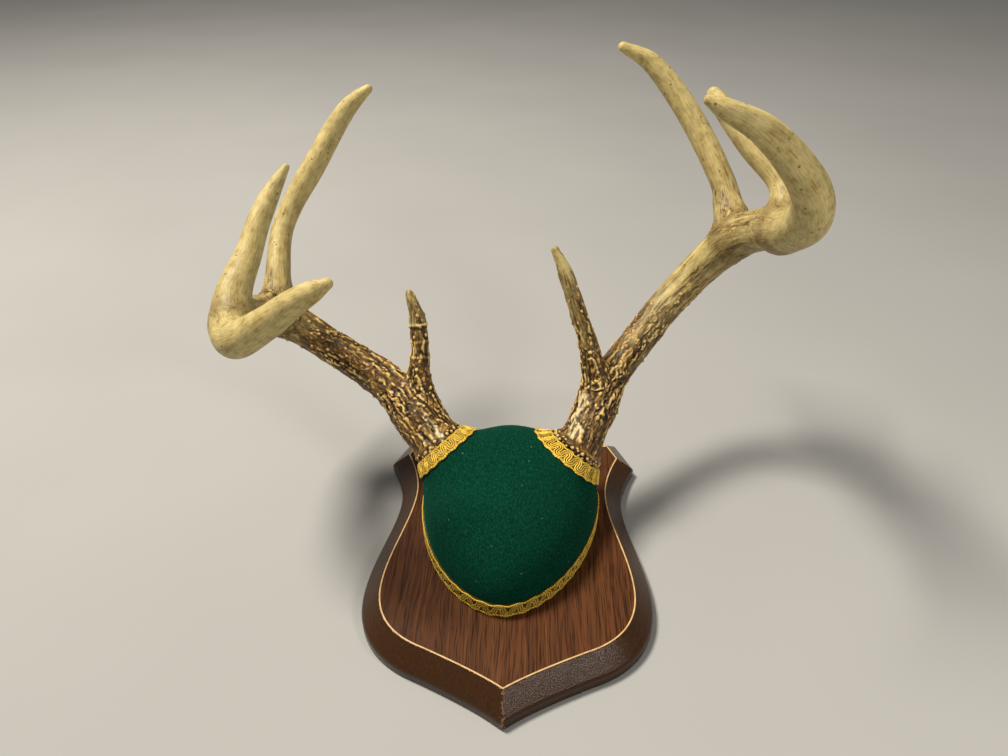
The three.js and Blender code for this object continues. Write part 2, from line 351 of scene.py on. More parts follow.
def moulded(name, outline, profile, wear=False):
    """A closed piece whose edge profile is carried round an outline. Fans from the axis close its first
    and last rows."""
    profile = np.asarray(profile, float)
    count = len(outline)
    points = np.vstack([carried(outline, profile), [[0, 0, profile[0, 1]], [0, 0, profile[-1, 1]]]])
    start = len(points) - 2
    last = (len(profile) - 1) * count
    faces = [
        grid_quads(len(profile), count),
        np.vstack([fan(np.arange(count), start, inward=True), fan(np.arange(last, last + count), start + 1)]),
    ]
    attributes = None
    if wear:
        attributes = {"wear": np.append(np.tile(corner_wear(outline), len(profile)), [0, 0])}
    return make_mesh(name, points, faces, smooth_angle=28, attributes=attributes)


def rounded(corner, before, after, reach, steps):
    """Points of a rounded corner: a quadratic curve whose handle is the corner, from reach before it to
    reach after it along the straight lines to its neighbours."""
    corner, before, after = (np.array(point, float) for point in (corner, before, after))
    start = corner + (before - corner) * reach / np.linalg.norm(before - corner)
    end = corner + (after - corner) * reach / np.linalg.norm(after - corner)
    t = np.linspace(0, 1, steps)[:, None]
    return (1 - t) ** 2 * start + 2 * t * (1 - t) * corner + t**2 * end


class PlaqueSettings(bpy.types.PropertyGroup):
    edge_round: FloatProperty(
        name="Lower edge round", description="How far the bevel's lower edge is rounded over",
        default=2.6 * MM, min=0.0005, unit="LENGTH",
    )
    rim_round: FloatProperty(
        name="Upper edge round", description="How far the bevel's upper edge is rounded over",
        default=0.5 * MM, min=0.0001, unit="LENGTH",
    )
    stripe_width: FloatProperty(
        name="Pinstripe width", description="Width of the pale line round the face",
        default=1.15 * MM, min=0.0003, unit="LENGTH",
    )
    border_colour: FloatVectorProperty(
        name="Border colour", description="Stained border of the plaque", subtype="COLOR", size=4,
        default=linear(0x3A2412), min=0, max=1,
    )
    face_colour: FloatVectorProperty(
        name="Face colour", description="Middle tone of the walnut face", subtype="COLOR", size=4,
        default=linear(0x56331B), min=0, max=1,
    )
    stripe_colour: FloatVectorProperty(
        name="Pinstripe colour", description="Pale line round the face", subtype="COLOR", size=4,
        default=linear(0xD9B27A), min=0, max=1,
    )


class ANTLERMOUNT_OT_plaque(bpy.types.Operator):
    """Build the plaque: bevelled board, pinstripe and walnut face"""

    bl_idname = "antlermount.plaque"
    bl_label = "Plaque"

    def execute(self, context):
        settings = context.scene.antlermount_plaque
        outline = face_outline(steps=56)
        edge = PLAQUE_TOP - BEVEL_DROP
        deck = PLAQUE_TOP - INLAY_DEPTH
        foot = rounded((BEVEL_WIDTH, 0), (0, 0), (BEVEL_WIDTH, edge), FOOT_ROUND, 5)
        lower = rounded((BEVEL_WIDTH, edge), (BEVEL_WIDTH, 0), (0, PLAQUE_TOP), settings.edge_round / MM, 9)
        upper = rounded((0.1, PLAQUE_TOP), (BEVEL_WIDTH, edge), (0, PLAQUE_TOP), settings.rim_round / MM, 5)
        upper[-1] = (-SEAM, PLAQUE_TOP - 0.05)
        profile = np.vstack([foot, lower, upper, [(-SEAM, deck)]])
        board = moulded("plaque_border_piece", outline, profile, wear=True)
        finish_piece(board, ["plaque_board"], "plaque_border", stained_border(settings))
        bed, arris = deck + CLEARANCE, PLAQUE_TOP - ARRIS_DROP
        outer = -2 * SEAM
        inner = outer - settings.stripe_width / MM
        ring = [
            (inner, bed), (outer, bed), (outer, arris),
            (outer - ARRIS, PLAQUE_TOP), (inner + ARRIS, PLAQUE_TOP), (inner, arris),
        ]
        faces = [ring_quads(len(ring), len(outline))]
        pinstripe = make_mesh("pinstripe_piece", carried(outline, ring), faces, smooth_angle=28)
        finish_piece(pinstripe, ["plaque_pinstripe"], "pinstripe", inlay_line(settings))
        side = inner - SEAM
        panel = moulded("walnut_face_piece", outline, [(side, bed), (side, arris), (side - ARRIS, PLAQUE_TOP)])
        finish_piece(panel, ["plaque_face"], "walnut_face", walnut_veneer(settings))
        return {"FINISHED"}


# ---------------------------------------------------------------- felt cap

SEAT_BLEND = 1.2  # rounds the seats' tops over
CAP_SPAN = 160  # longer than any way from the middle of the cap to its skin
HALVINGS = 26
WALL_ROWS = 8  # rows of faces up the cap's upright foot
RIPPLE = 0.12  # height of the felt's unevenness, 9 mm across


def seat_axis(side):
    """The direction in which an antler leaves the cap."""
    return LEANS[side] / np.linalg.norm(LEANS[side])


def soft_min(values, blend):
    """The least of several distances, eased where they are close: -blend log of the sum of exp(-d/blend)."""
    values = np.asarray(values)
    least = values.min(0)
    return least - blend * np.log(np.exp(-(values - least) / blend).sum(0))


def felt_depth(points, blend):
    """How far points lie outside the felt. The dome is where plan and rise, each a share of its full size,
    have powers that add to 1; each seat is a cone with a rounded top; soft_min joins them with a fillet."""
    x, y = points[..., 0] - CAP_CREST[0], points[..., 1] - CAP_CREST[1]
    x = x - CAP_SKEW * np.minimum(y, 0)
    reach = np.where(y < 0, *CAP_REACH)
    plan = ((np.abs(x) / CAP_HALF_WIDTH) ** PLAN_POWER + (np.abs(y) / reach) ** PLAN_POWER) ** (1 / PLAN_POWER)
    rise = np.maximum(points[..., 2] - CAP_BASE - CAP_WALL, 0) / (CAP_HEIGHT - CAP_WALL)
    dome = ((plan**DOME_POWER + rise**DOME_POWER) ** (1 / DOME_POWER) - 1) * CAP_HEIGHT
    parts = [dome]
    for side, seat in SEATS.items():
        axis = seat_axis(side)
        apart = points - seat
        below = -(apart @ axis)
        radial = np.linalg.norm(apart + below[..., None] * axis, axis=-1)
        wall = (radial - SEAT_RADIUS - SEAT_FLARE * below) / np.hypot(1, SEAT_FLARE)
        parts.append(-soft_min([-wall, below, SEAT_DEPTH - below], SEAT_BLEND))
    return soft_min(parts, blend)


def felt_reach(start, direction, farthest, blend):
    """Distance from each start along its direction to the felt's surface, by halving the interval."""
    low = np.zeros(start.shape[:-1])
    high = np.full(start.shape[:-1], farthest)
    for _ in range(HALVINGS):
        middle = (low + high) / 2
        inside = felt_depth(start + direction * middle[..., None], blend) < 0
        low = np.where(inside, middle, low)
        high = np.where(inside, high, middle)
    return (low + high) / 2


class CapSettings(bpy.types.PropertyGroup):
    fillet: FloatProperty(
        name="Felt fillet", description="How softly the felt runs from the dome up to the antlers",
        default=4 * MM, min=0.0005, unit="LENGTH",
    )
    felt_colour: FloatVectorProperty(
        name="Felt colour", description="Dyed wool felt", subtype="COLOR", size=4,
        default=linear(0x043425), min=0, max=1,
    )
    around: IntProperty(name="Steps around", description="Steps of the felt round the cap", default=300, min=24)
    up: IntProperty(name="Steps up", description="Steps of the felt from rim to crest", default=120, min=12)


class ANTLERMOUNT_OT_cap(bpy.types.Operator):
    """Build the felt-covered skull cap"""

    bl_idname = "antlermount.cap"
    bl_label = "Felt cap"

    def execute(self, context):
        settings = context.scene.antlermount_cap
        blend = settings.fillet / MM
        angle = turns(settings.around)
        heights = np.linspace(0, CAP_WALL, WALL_ROWS, endpoint=False)
        lift = np.concatenate([np.zeros(WALL_ROWS), np.linspace(0, np.pi / 2, settings.up, endpoint=False)])
        base = np.concatenate([heights, np.full(settings.up, CAP_WALL)]) + CAP_BASE
        direction = np.stack([
            np.cos(lift)[:, None] * np.cos(angle), np.cos(lift)[:, None] * np.sin(angle),
            np.broadcast_to(np.sin(lift)[:, None], (len(lift), len(angle))),
        ], -1)
        start = np.empty_like(direction)
        start[..., :2] = CAP_CREST
        start[..., 2] = base[:, None]
        points = start + direction * felt_reach(start, direction, CAP_SPAN, blend)[..., None]
        top = np.array([*CAP_CREST, CAP_BASE + CAP_WALL])
        up = np.array([0.0, 0.0, 1.0])
        crest = top + up * felt_reach(top[None], up[None], CAP_SPAN, blend)[0]
        foot = np.array([*CAP_CREST, CAP_BASE])
        rows = len(lift)
        count = len(angle)
        everything = np.vstack([points.reshape(-1, 3), crest, foot])
        ripple = clouds(everything, size=9, seed=5) * RIPPLE
        everything[:-1, 2] += ripple[:-1] * ramp(everything[:-1, 2], CAP_BASE, CAP_BASE + 8)
        last = (rows - 1) * count
        faces = [
            grid_quads(rows, count),
            np.vstack([
                fan(np.arange(last, last + count), rows * count),
                fan(np.arange(count), rows * count + 1, inward=True),
            ]),
        ]
        felt = make_mesh("felt_cap_piece", everything, faces, smooth_angle=60)
        finish_piece(felt, ["skull_cap"], "felt", pressed_felt(settings))
        return {"FINISHED"}


# ---------------------------------------------------------------- scroll braid

SLANT = 0.14  # sideways lean of the scroll's limbs
SCALLOP = 1.3  # how deep the edge cords dip between scrolls
CORD_SPACING = 1.28  # between the middles of neighbouring scroll cords, in cords
CORD_STEPS = 44  # along one scroll
CORD_SIDES = 6
CORD_LIFT = 0.45  # from the felt to a scroll cord's underside
EDGE_STEP = 0.45  # between the rings of an edge cord
EDGE_SIDES = 8
EDGE_LIFT = 0.35
STRAND = 2.3  # length over which an edge cord's two strands turn once round it
STRAND_DEPTH = 0.2  # of the edge cord's radius
GROUND_STEP = 1.5
GROUND_MARGIN = 0.7  # from the ground's edges to the braid's
GROUND_FACES = (-0.3, 0.65)  # how far its back and front lie off the felt
GROUND_COLUMNS = 8
TURN_OVERLAP = 0.3  # how far the scroll's turns reach over the edge cords
FINE_SAMPLES = 4001  # round the cap's foot, to measure it
BASE_SAMPLES = 720  # evenly round it
BASE_GAP = 0.15
COLLAR_COLUMNS, COLLAR_ROWS = 240, 15
COLLAR_DROP = 0.6  # from the seat's top to the collar's upper edge
COLLAR_START = 6  # inside the seat's wall, from where the felt is looked for
COLLAR_SPAN = 40  # and how far out


def serpentine(repeats, pitch, straight, aside):
    """A scroll that winds up and down: straight limbs joined by half circles, moved aside by an offset
    along its own normal, then slanted. Rows of distance along the braid and height about its middle."""
    radius = pitch / 4
    arc = np.pi * radius
    lengths = np.array([straight, arc, 2 * straight, arc, straight])
    ends = np.concatenate([[0], np.cumsum(lengths)])
    where = np.arange(CORD_STEPS * repeats) / CORD_STEPS
    turn = np.floor(where)
    run = (where - turn) * ends[-1]
    over = np.clip((run - ends[1]) / arc, 0, 1) * np.pi
    under = np.clip((run - ends[3]) / arc, 0, 1) * np.pi
    x = radius * (1 - np.cos(over)) + radius * (1 - np.cos(under))
    y = np.clip(run, 0, ends[1]) - np.clip(run - ends[2], 0, 2 * straight) + np.clip(run - ends[4], 0, straight)
    y = y + radius * np.sin(over) - radius * np.sin(under)
    heading = np.pi / 2 - over + under
    x = x - np.sin(heading) * aside
    y = y + np.cos(heading) * aside
    return np.stack([turn * pitch + x + SLANT * y, y], -1)


def closed_tube(centres, outward, radii, sides):
    """A ring-shaped tube: a circle of each radius about each centre of a closed line, square to it.
    outward is a direction near the circle's first axis. Gives points, faces and a UV of mm along and turns."""
    ahead = unit(np.roll(centres, -1, 0) - np.roll(centres, 1, 0))
    first = unit(outward - (outward * ahead).sum(1, keepdims=True) * ahead)
    angle = turns(sides)
    radii = np.broadcast_to(np.asarray(radii, float).reshape(len(centres), -1), (len(centres), sides))
    points = centres[:, None] + directions(first, np.cross(ahead, first), angle) * radii[..., None]
    along = np.cumsum(np.linalg.norm(centres - np.roll(centres, 1, 0), axis=1))
    uv = np.stack(np.broadcast_arrays(along[:, None], angle[None] / TURN), -1)
    return points.reshape(-1, 3), ring_quads(len(centres), sides), uv.reshape(-1, 2)


def laid_cord(place, s, height, lift, radii, sides):
    """A closed tube with its middle at distances s, heights and one lift of a braid's place()."""
    centres = place(s, height, np.full(len(s), lift))
    outward = place(s, height, np.full(len(s), lift + 1)) - centres
    return closed_tube(centres, outward, radii, sides)


def gather(parts):
    """Joins points, faces and UVs of several bodies into one list each."""
    start = np.cumsum([0] + [len(points) for points, _, _ in parts])
    faces = np.vstack([quads + first for (_, quads, _), first in zip(parts, start)])
    return np.vstack([points for points, _, _ in parts]), faces, np.vstack([uv for _, _, uv in parts])


class BraidSettings(bpy.types.PropertyGroup):
    cord: FloatProperty(
        name="Cord", description="Diameter of each scroll cord", default=1.36 * MM, min=0.0003, unit="LENGTH",
    )
    edge_cord: FloatProperty(
        name="Edge cord", description="Diameter of the twisted cords along both edges",
        default=1.5 * MM, min=0.0003, unit="LENGTH",
    )
    base_pitch: FloatProperty(
        name="Base scroll", description="Length of one scroll of the band round the cap's foot",
        default=12.8 * MM, min=0.004, unit="LENGTH",
    )
    collar_pitch: FloatProperty(
        name="Collar scroll", description="Length of one scroll of the collars",
        default=10.4 * MM, min=0.004, unit="LENGTH",
    )
    gold_colour: FloatVectorProperty(
        name="Gold colour", description="Silky gold thread", subtype="COLOR", size=4,
        default=linear(0xFAC146), min=0, max=1,
    )


def braid(name, settings, width, around, place, pitch, nodes):
    """A braid of that width round a closed line of length around. It has a flat sheet under its cords, painted
    dark as shade, three scroll cords side by side and a twisted cord along each edge.

    place(s, h, d) gives the points at distance s along the line, height h above its middle and d off the
    felt.
    """
    half = width / 2
    cord = settings.cord / MM
    edge = settings.edge_cord / MM
    repeats = int(round(around / (pitch / MM)))
    pitch = around / repeats
    spacing = cord * CORD_SPACING
    outer = pitch / 4 + spacing
    straight = max(half - edge - cord / 2 + TURN_OVERLAP - outer, 0)
    parts = []
    for aside in (-spacing, 0.0, spacing):
        path = serpentine(repeats, pitch, straight, aside)
        radii = np.full(len(path), cord / 2)
        parts.append(laid_cord(place, path[:, 0], path[:, 1], CORD_LIFT + cord / 2, radii, CORD_SIDES))
    steps = int(around / EDGE_STEP)
    s = np.arange(steps) / steps * around
    twist = np.cos(2 * turns(EDGE_SIDES)[None] + TURN * int(around / STRAND) * s[:, None] / around)
    radii = edge / 2 * (1 + STRAND_DEPTH * twist)
    for sign in (-1, 1):
        top = pitch / 4 + SLANT * outer if sign > 0 else 3 * pitch / 4 - SLANT * outer
        dip = 0.5 - 0.5 * np.cos(TURN * (s - top) / pitch)
        height = sign * (half - edge / 2 - SCALLOP * dip)
        parts.append(laid_cord(place, s, height, EDGE_LIFT + edge / 2, radii, EDGE_SIDES))
    steps = int(around / GROUND_STEP)
    s = np.arange(steps) / steps * around
    across = np.linspace(-half + GROUND_MARGIN, half - GROUND_MARGIN, GROUND_COLUMNS)
    back, front = GROUND_FACES
    profile = np.array([(h, back) for h in across] + [(h, front) for h in across[::-1]])
    ground = np.stack([place(s, np.full(steps, h), np.full(steps, d)) for h, d in profile], 1)
    uv = np.stack(np.broadcast_arrays(s[:, None], np.linspace(0, 1, len(profile))[None]), -1)
    parts.append((ground.reshape(-1, 3), ring_quads(steps, len(profile)), uv.reshape(-1, 2)))
    points, faces, uv = gather(parts)
    # marks the sheet under the cords, which the material paints dark as painted shade
    shaded_ground_share = np.zeros(len(points))
    shaded_ground_share[-steps * len(profile):] = 1
    piece = make_mesh(name, points, [faces], smooth_angle=50, attributes={"ground": shaded_ground_share}, uv=uv)
    finish_piece(piece, nodes, "gold_braid", gold_braid(settings))


class ANTLERMOUNT_OT_base_braid(bpy.types.Operator):
    """Lay the scroll braid round the foot of the cap"""

    bl_idname = "antlermount.base_braid"
    bl_label = "Base braid"

    def execute(self, context):
        settings = context.scene.antlermount_braid
        angle = np.linspace(0, TURN, FINE_SAMPLES)
        reach = np.where(np.sin(angle) < 0, *CAP_REACH)
        cosine, sine = np.cos(angle), np.sin(angle)
        x = CAP_HALF_WIDTH * np.sign(cosine) * np.abs(cosine) ** (2 / PLAN_POWER)
        y = reach * np.sign(sine) * np.abs(sine) ** (2 / PLAN_POWER)
        line = CAP_CREST + np.stack([x + CAP_SKEW * np.minimum(y, 0), y], -1)
        along = lengths_along(line)
        around = along[-1]
        even = read_at(np.arange(BASE_SAMPLES) / BASE_SAMPLES * around, along, line)
        ahead = unit(np.roll(even, -3, 0) - np.roll(even, 3, 0))
        table = np.column_stack([even, ahead[:, 1], -ahead[:, 0]])
        table = np.vstack([table, table[:1]])
        knots = np.linspace(0, around, BASE_SAMPLES + 1)

        def place(s, h, d):
            x, y, out_x, out_y = read_at(np.mod(s, around), knots, table).T
            out = d + BASE_GAP
            return np.stack([x + out_x * out, y + out_y * out, CAP_BASE + BASE_BRAID / 2 + h], -1)

        braid("base_braid_piece", settings, BASE_BRAID, around, place, settings.base_pitch, ["base_braid"])
        return {"FINISHED"}


class ANTLERMOUNT_OT_collars(bpy.types.Operator):
    """Lay a scroll braid round the foot of each antler"""

    bl_idname = "antlermount.collars"
    bl_label = "Collar braids"

    def execute(self, context):
        settings = context.scene.antlermount_braid
        blend = context.scene.antlermount_cap.fillet / MM
        for side, seat in SEATS.items():
            axis = seat_axis(side)
            around = TURN * (SEAT_RADIUS + SEAT_FLARE * COLLAR_BRAID / 2)
            angle = np.linspace(0, TURN, COLLAR_COLUMNS + 1)
            below = np.linspace(COLLAR_DROP, COLLAR_BRAID + COLLAR_DROP, COLLAR_ROWS)
            radial = directions(*square_to(axis), angle)
            normal = (radial + SEAT_FLARE * axis) / np.hypot(1, SEAT_FLARE)
            start = seat - axis * below[:, None, None] + radial[None] * (SEAT_RADIUS - COLLAR_START)
            direction = np.broadcast_to(normal, start.shape)
            out = felt_reach(start, direction, COLLAR_SPAN, blend)
            out = (out + np.roll(out, 1, 1) + np.roll(out, -1, 1)) / 3
            skin = start + direction * out[..., None]

            def place(s, h, d):
                across = np.mod(s / around, 1) * COLLAR_COLUMNS
                up = np.clip((COLLAR_BRAID / 2 - h) / COLLAR_BRAID, 0, 1) * (COLLAR_ROWS - 1)
                i = np.clip(np.floor(up).astype(int), 0, COLLAR_ROWS - 2)
                j = np.floor(across).astype(int) % COLLAR_COLUMNS
                u, v = (up - i)[:, None], (across - np.floor(across))[:, None]
                point = (skin[i, j] * (1 - u) + skin[i + 1, j] * u) * (1 - v)
                point = point + (skin[i, j + 1] * (1 - u) + skin[i + 1, j + 1] * u) * v
                away = normal[j] * (1 - v) + normal[j + 1] * v
                return point + away * d[:, None]

            piece, node = f"{side}_collar_piece", f"{side}_collar_braid"
            braid(piece, settings, COLLAR_BRAID, around, place, settings.collar_pitch, [node])
        return {"FINISHED"}


# ---------------------------------------------------------------- antlers

SPACING = 1.5  # between the samples of a branch's line
OVERRUN = 6.0  # how far a part grows past its cut before it is trimmed there
TUBE_SIDES = 20
TUBE_STEP = 4  # between the rings of a seed tube
BURR_SIDES = 40
BURR_BLEND = 1.6  # how softly the burr runs into the beam
REACH = 4  # farthest that a point is moved onto the shape at once
LEVELLING = 24  # rounds of smoothing that leave a relief's slow part


def through(points, steps, centripetal):
    """A smooth curve through points, sampled at equal steps between each two. It is the cubic that meets
    both with slopes from their neighbours, weighted by the roots of the gaps where centripetal."""
    p = np.vstack([2 * points[0] - points[1], points, 2 * points[-1] - points[-2]])
    a, b, c, d = p[:-3], p[1:-2], p[2:-1], p[3:]
    if centripetal:
        gaps = np.sqrt(np.linalg.norm(np.diff(p, axis=0), axis=1))[:, None]
        before, here, after = gaps[:-2], gaps[1:-1], gaps[2:]
        leave = ((b - a) / before - (c - a) / (before + here) + (c - b) / here) * here
        arrive = ((c - b) / here - (d - b) / (here + after) + (d - c) / after) * here
    else:
        leave, arrive = (c - a) / 2, (d - b) / 2
    t = (np.arange(steps) / steps)[None, :, None]
    b, c, leave, arrive = (part[:, None] for part in (b, c, leave, arrive))
    curve = b + leave * t + (3 * (c - b) - 2 * leave - arrive) * t**2 + (2 * (b - c) + leave + arrive) * t**3
    return np.vstack([curve.reshape(-1, p.shape[1]), points[-1:]])


def branch_line(stations):
    """A branch's line sampled evenly: places, headings, two side axes that don't twist about it, radii and
    distances from its start."""
    stations = np.array(stations, float)
    places = through(stations[:, :3], 60, True)
    radii = through(stations[:, 3:], 60, False)[:, 0] / 2
    along = lengths_along(places)
    count = int(np.ceil(along[-1] / SPACING)) + 1
    distance = np.linspace(0, along[-1], count)
    place = read_at(distance, along, places)
    radius = np.interp(distance, along, radii)
    ahead = unit(np.gradient(place, axis=0))
    side = np.empty_like(ahead)
    side[0] = np.cross(ahead[0], [0.0, 0.0, 1.0])
    for k in range(1, count):  # carries the side axis from ring to ring
        side[k] = side[k - 1] - ahead[k] * (side[k - 1] @ ahead[k])
    side = unit(side)
    return {"place": place, "ahead": ahead, "side": side, "rise": np.cross(ahead, side),
            "radius": radius, "distance": distance}


def nearest_on(line, points):
    """For each point: its foot on the branch's line, the distance along to it and the nearest sample.
    The samples are searched in batches, for memory; the foot then slides up to one sample's step."""
    found = np.empty(len(points), int)
    place = line["place"].astype(np.float32)
    square = (place**2).sum(1)
    batch = 20000
    for start in range(0, len(points), batch):
        some = points[start:start + batch].astype(np.float32)
        found[start:start + batch] = (square - 2 * some @ place.T).argmin(1)
    ahead = line["ahead"][found]
    step = np.einsum("ij,ij->i", points - line["place"][found], ahead)
    low = np.where(found == 0, 0, -SPACING)
    high = np.where(found == len(place) - 1, 0, SPACING)
    step = np.clip(step, low, high)
    return line["place"][found] + ahead * step[:, None], line["distance"][found] + step, found


def antler_depth(lines, points, blend):
    """How far points lie outside an antler, with the outward direction and each branch's share. Each branch
    is the points nearer to its line than its radius there. soft_min joins them with a web in each fork."""
    depths, outward = [], []
    for line in lines.values():
        foot, along, _ = nearest_on(line, points)
        away = np.linalg.norm(points - foot, axis=1)
        depths.append(away - np.interp(along, line["distance"], line["radius"]))
        outward.append((points - foot) / np.maximum(away, 1e-6)[:, None])
    depths = np.array(depths)
    share = np.exp(-(depths - depths.min(0)) / blend)
    share /= share.sum(0)
    direction = np.einsum("bi,bij->ij", share, np.array(outward))
    return soft_min(depths, blend), direction, share


def burr_frame(side):
    """The burr's axis and the middle of its thickness."""
    axis = seat_axis(side)
    return axis, SEATS[side] + axis * (CLEARANCE + BURR_MIDDLE)


def shape_depth(side, lines, points, web):
    """antler_depth with the burr, a disc with a round rim, joined to it and last in the shares."""
    depth, direction, share = antler_depth(lines, points, web)
    axis, centre = burr_frame(side)
    apart = points - centre
    flat = apart - (apart @ axis)[:, None] * axis
    spread = np.linalg.norm(flat, axis=1)
    core = np.minimum(spread, BURR_RADIUS - BURR_HALF)
    away = points - (centre + flat / np.maximum(spread, 1e-6)[:, None] * core[:, None])
    distance = np.linalg.norm(away, axis=1)
    rim = distance - BURR_HALF
    out = away / np.maximum(distance, 1e-6)[:, None]
    mix = np.exp(-(np.stack([depth, rim]) - np.minimum(depth, rim)) / BURR_BLEND)
    mix /= mix.sum(0)
    joined = soft_min([depth, rim], BURR_BLEND)
    direction = mix[0][:, None] * direction + mix[1][:, None] * out
    # the trunk inside the cap is cut off flat under the burr
    under = -(apart @ axis) - BURR_HALF
    cut = under > joined
    joined = np.where(cut, under, joined)
    direction = np.where(cut[:, None], -axis, direction)
    return joined, direction, np.vstack([share * mix[0], mix[1]])


def onto_shape(points, side, lines, web):
    """Points moved onto the shape: back along the outward direction by their depth over its length squared.
    Gives each branch's share in them too."""
    depth, direction, share = shape_depth(side, lines, points, web)
    steep = np.maximum((direction**2).sum(1), 0.25)
    return points - np.clip(depth, -REACH, REACH)[:, None] * direction / steep[:, None], share


def seed_tube(line, first, last):
    """A plain closed tube along part of a branch's line, between two distances: a ring every few mm."""
    count = max(int((last - first) / TUBE_STEP), 3)
    distance = np.linspace(first, last, count)
    place, ahead, side, rise = (
        read_at(distance, line["distance"], line[key]) for key in ("place", "ahead", "side", "rise")
    )
    radius = np.interp(distance, line["distance"], line["radius"])
    rings = place[:, None] + radius[:, None, None] * directions(side, rise, turns(TUBE_SIDES))
    tip = place[-1] + ahead[-1] * (radius[-1] * 0.8 if last == line["distance"][-1] else 0)
    points = np.vstack([rings.reshape(-1, 3), place[:1], tip])
    end = len(points) - 1
    ring = np.arange(TUBE_SIDES)
    caps = np.vstack([fan(ring, end - 1, inward=True), fan(ring + end - 1 - TUBE_SIDES, end)])
    return points, [grid_quads(count, TUBE_SIDES), caps]


def seed_disc(side):
    """A plain closed disc where the burr is."""
    axis, centre = burr_frame(side)
    circle = BURR_RADIUS * directions(*square_to(axis), turns(BURR_SIDES))
    back, front = centre - BURR_HALF * axis, centre + BURR_HALF * axis
    points = np.vstack([back + circle, front + circle, back, front])
    ring = np.arange(BURR_SIDES)
    end = len(points) - 1
    caps = np.vstack([fan(ring, end - 1, inward=True), fan(ring + BURR_SIDES, end)])
    return points, [grid_quads(2, BURR_SIDES), caps]


def seeds(side, lines, crown):
    """Seed bodies for the crown, or for the trunk and its burr: each branch up to its cut or from it. The
    brow tine has no cut and is the trunk's; the third tine has none and is the crown's."""
    parts = []
    for name, line in lines.items():
        end = line["distance"][-1]
        cut = CUTS[side].get(name)
        if crown and name != "brow_tine":
            parts.append(seed_tube(line, cut - OVERRUN if cut else 0, end))
        elif not crown and (cut or name == "brow_tine"):
            parts.append(seed_tube(line, 0, cut + OVERRUN if cut else end))
    return parts if crown else [*parts, seed_disc(side)]


def fused(parts, voxel):
    """One skin of even small faces round several closed bodies. Gives its points and quads, all in mm: for
    this the rough mesh holds mm as they are."""
    points = np.vstack([body for body, _ in parts])
    start = np.cumsum([0] + [len(body) for body, _ in parts])
    faces = [kind + first for (_, kinds), first in zip(parts, start) for kind in kinds]
    rough = make_mesh("rough", points / MM, faces)
    modifier = rough.modifiers.new("skin", "REMESH")
    modifier.mode = "VOXEL"
    modifier.voxel_size = voxel
    modifier.adaptivity = 0
    skin = rough.evaluated_get(bpy.context.evaluated_depsgraph_get()).to_mesh()
    found = np.empty(len(skin.vertices) * 3, np.float32)
    skin.vertices.foreach_get("co", found)
    quads = np.empty(len(skin.loops), np.int32)
    skin.loops.foreach_get("vertex_index", quads)
    mesh = rough.data
    bpy.data.objects.remove(rough)
    bpy.data.meshes.remove(mesh)
    return found.reshape(-1, 3).astype(float), quads.reshape(-1, 4)


def quad_edges(quads):
    """Pairs of neighbouring corners round every face."""
    return np.vstack([quads[:, [0, 1]], quads[:, [1, 2]], quads[:, [2, 3]], quads[:, [3, 0]]])


def neighbour_mean(values, edges, count):
    """The mean of a number over each point's neighbours."""
    one, other = edges.T
    total = np.bincount(one, values[other], count) + np.bincount(other, values[one], count)
    return total / np.maximum(np.bincount(edges.ravel(), minlength=count), 1)


def relaxed(points, quads, rounds):
    """Moves each point halfway to the mean of its neighbours, a few times."""
    edges = quad_edges(quads)
    for _ in range(rounds):
        mean = np.stack([neighbour_mean(points[:, k], edges, len(points)) for k in range(3)], -1)
        points = (points + mean) / 2
    return points


def point_normals(points, quads):
    """Outward directions at the points: the faces' diagonals crossed and summed."""
    cross = np.cross(points[quads[:, 2]] - points[quads[:, 0]], points[quads[:, 3]] - points[quads[:, 1]])
    total = np.stack([
        sum(np.bincount(quads[:, corner], cross[:, k], len(points)) for corner in range(4)) for k in range(3)
    ], -1)
    return total / np.maximum(np.linalg.norm(total, axis=1), 1e-12)[:, None]


class AntlerSettings(bpy.types.PropertyGroup):
    web: FloatProperty(
        name="Fork web", description="How softly the tines run into the beam", default=4.4 * MM,
        min=0.0005, unit="LENGTH",
    )
    trunk_grain: FloatProperty(
        name="Trunk face size", description="Size of the faces of the rough lower antler",
        default=0.76 * MM, min=0.0004, unit="LENGTH",
    )
    crown_grain: FloatProperty(
        name="Crown face size", description="Size of the faces of the smooth upper antler",
        default=1.15 * MM, min=0.0004, unit="LENGTH",
    )
    relief: FloatProperty(
        name="Relief", description="Strength of the ridges and beads of the lower antler", default=1.0,
        min=0, soft_max=2,
    )
    brown_colour: FloatVectorProperty(
        name="Stain colour", description="Brown stain of the lower antler", subtype="COLOR", size=4,
        default=linear(0x684D22), min=0, max=1,
    )
    ivory_colour: FloatVectorProperty(
        name="Ivory colour", description="Polished pale antler", subtype="COLOR", size=4,
        default=linear(0xC4B275), min=0, max=1,
    )


# How rough and brown each branch is: pairs of distance along it and share.
STAIN = {
    "left": {
        "beam": [(0, 1), (150, 1), (195, 0.85), (222, 0.45), (250, 0.2), (300, 0.14), (345, 0)],
        "brow_tine": [(0, 1), (84, 1), (89, 0.62), (110, 0.4)],
        "second_tine": [(0, 0.28), (40, 0.2), (85, 0.02)],
        "third_tine": [(0, 0.2), (30, 0.12), (60, 0)],
    },
    "right": {
        "beam": [(0, 1), (80, 1), (125, 0.8), (170, 0.5), (215, 0.3), (272, 0.22), (338, 0.16), (390, 0)],
        "brow_tine": [(0, 1), (45, 0.95), (80, 0.75), (115, 0.5), (138, 0.28)],
        "second_tine": [(0, 0.36), (45, 0.26), (90, 0.05), (110, 0)],
        "third_tine": [(0, 0.2), (40, 0.12), (80, 0)],
    },
}
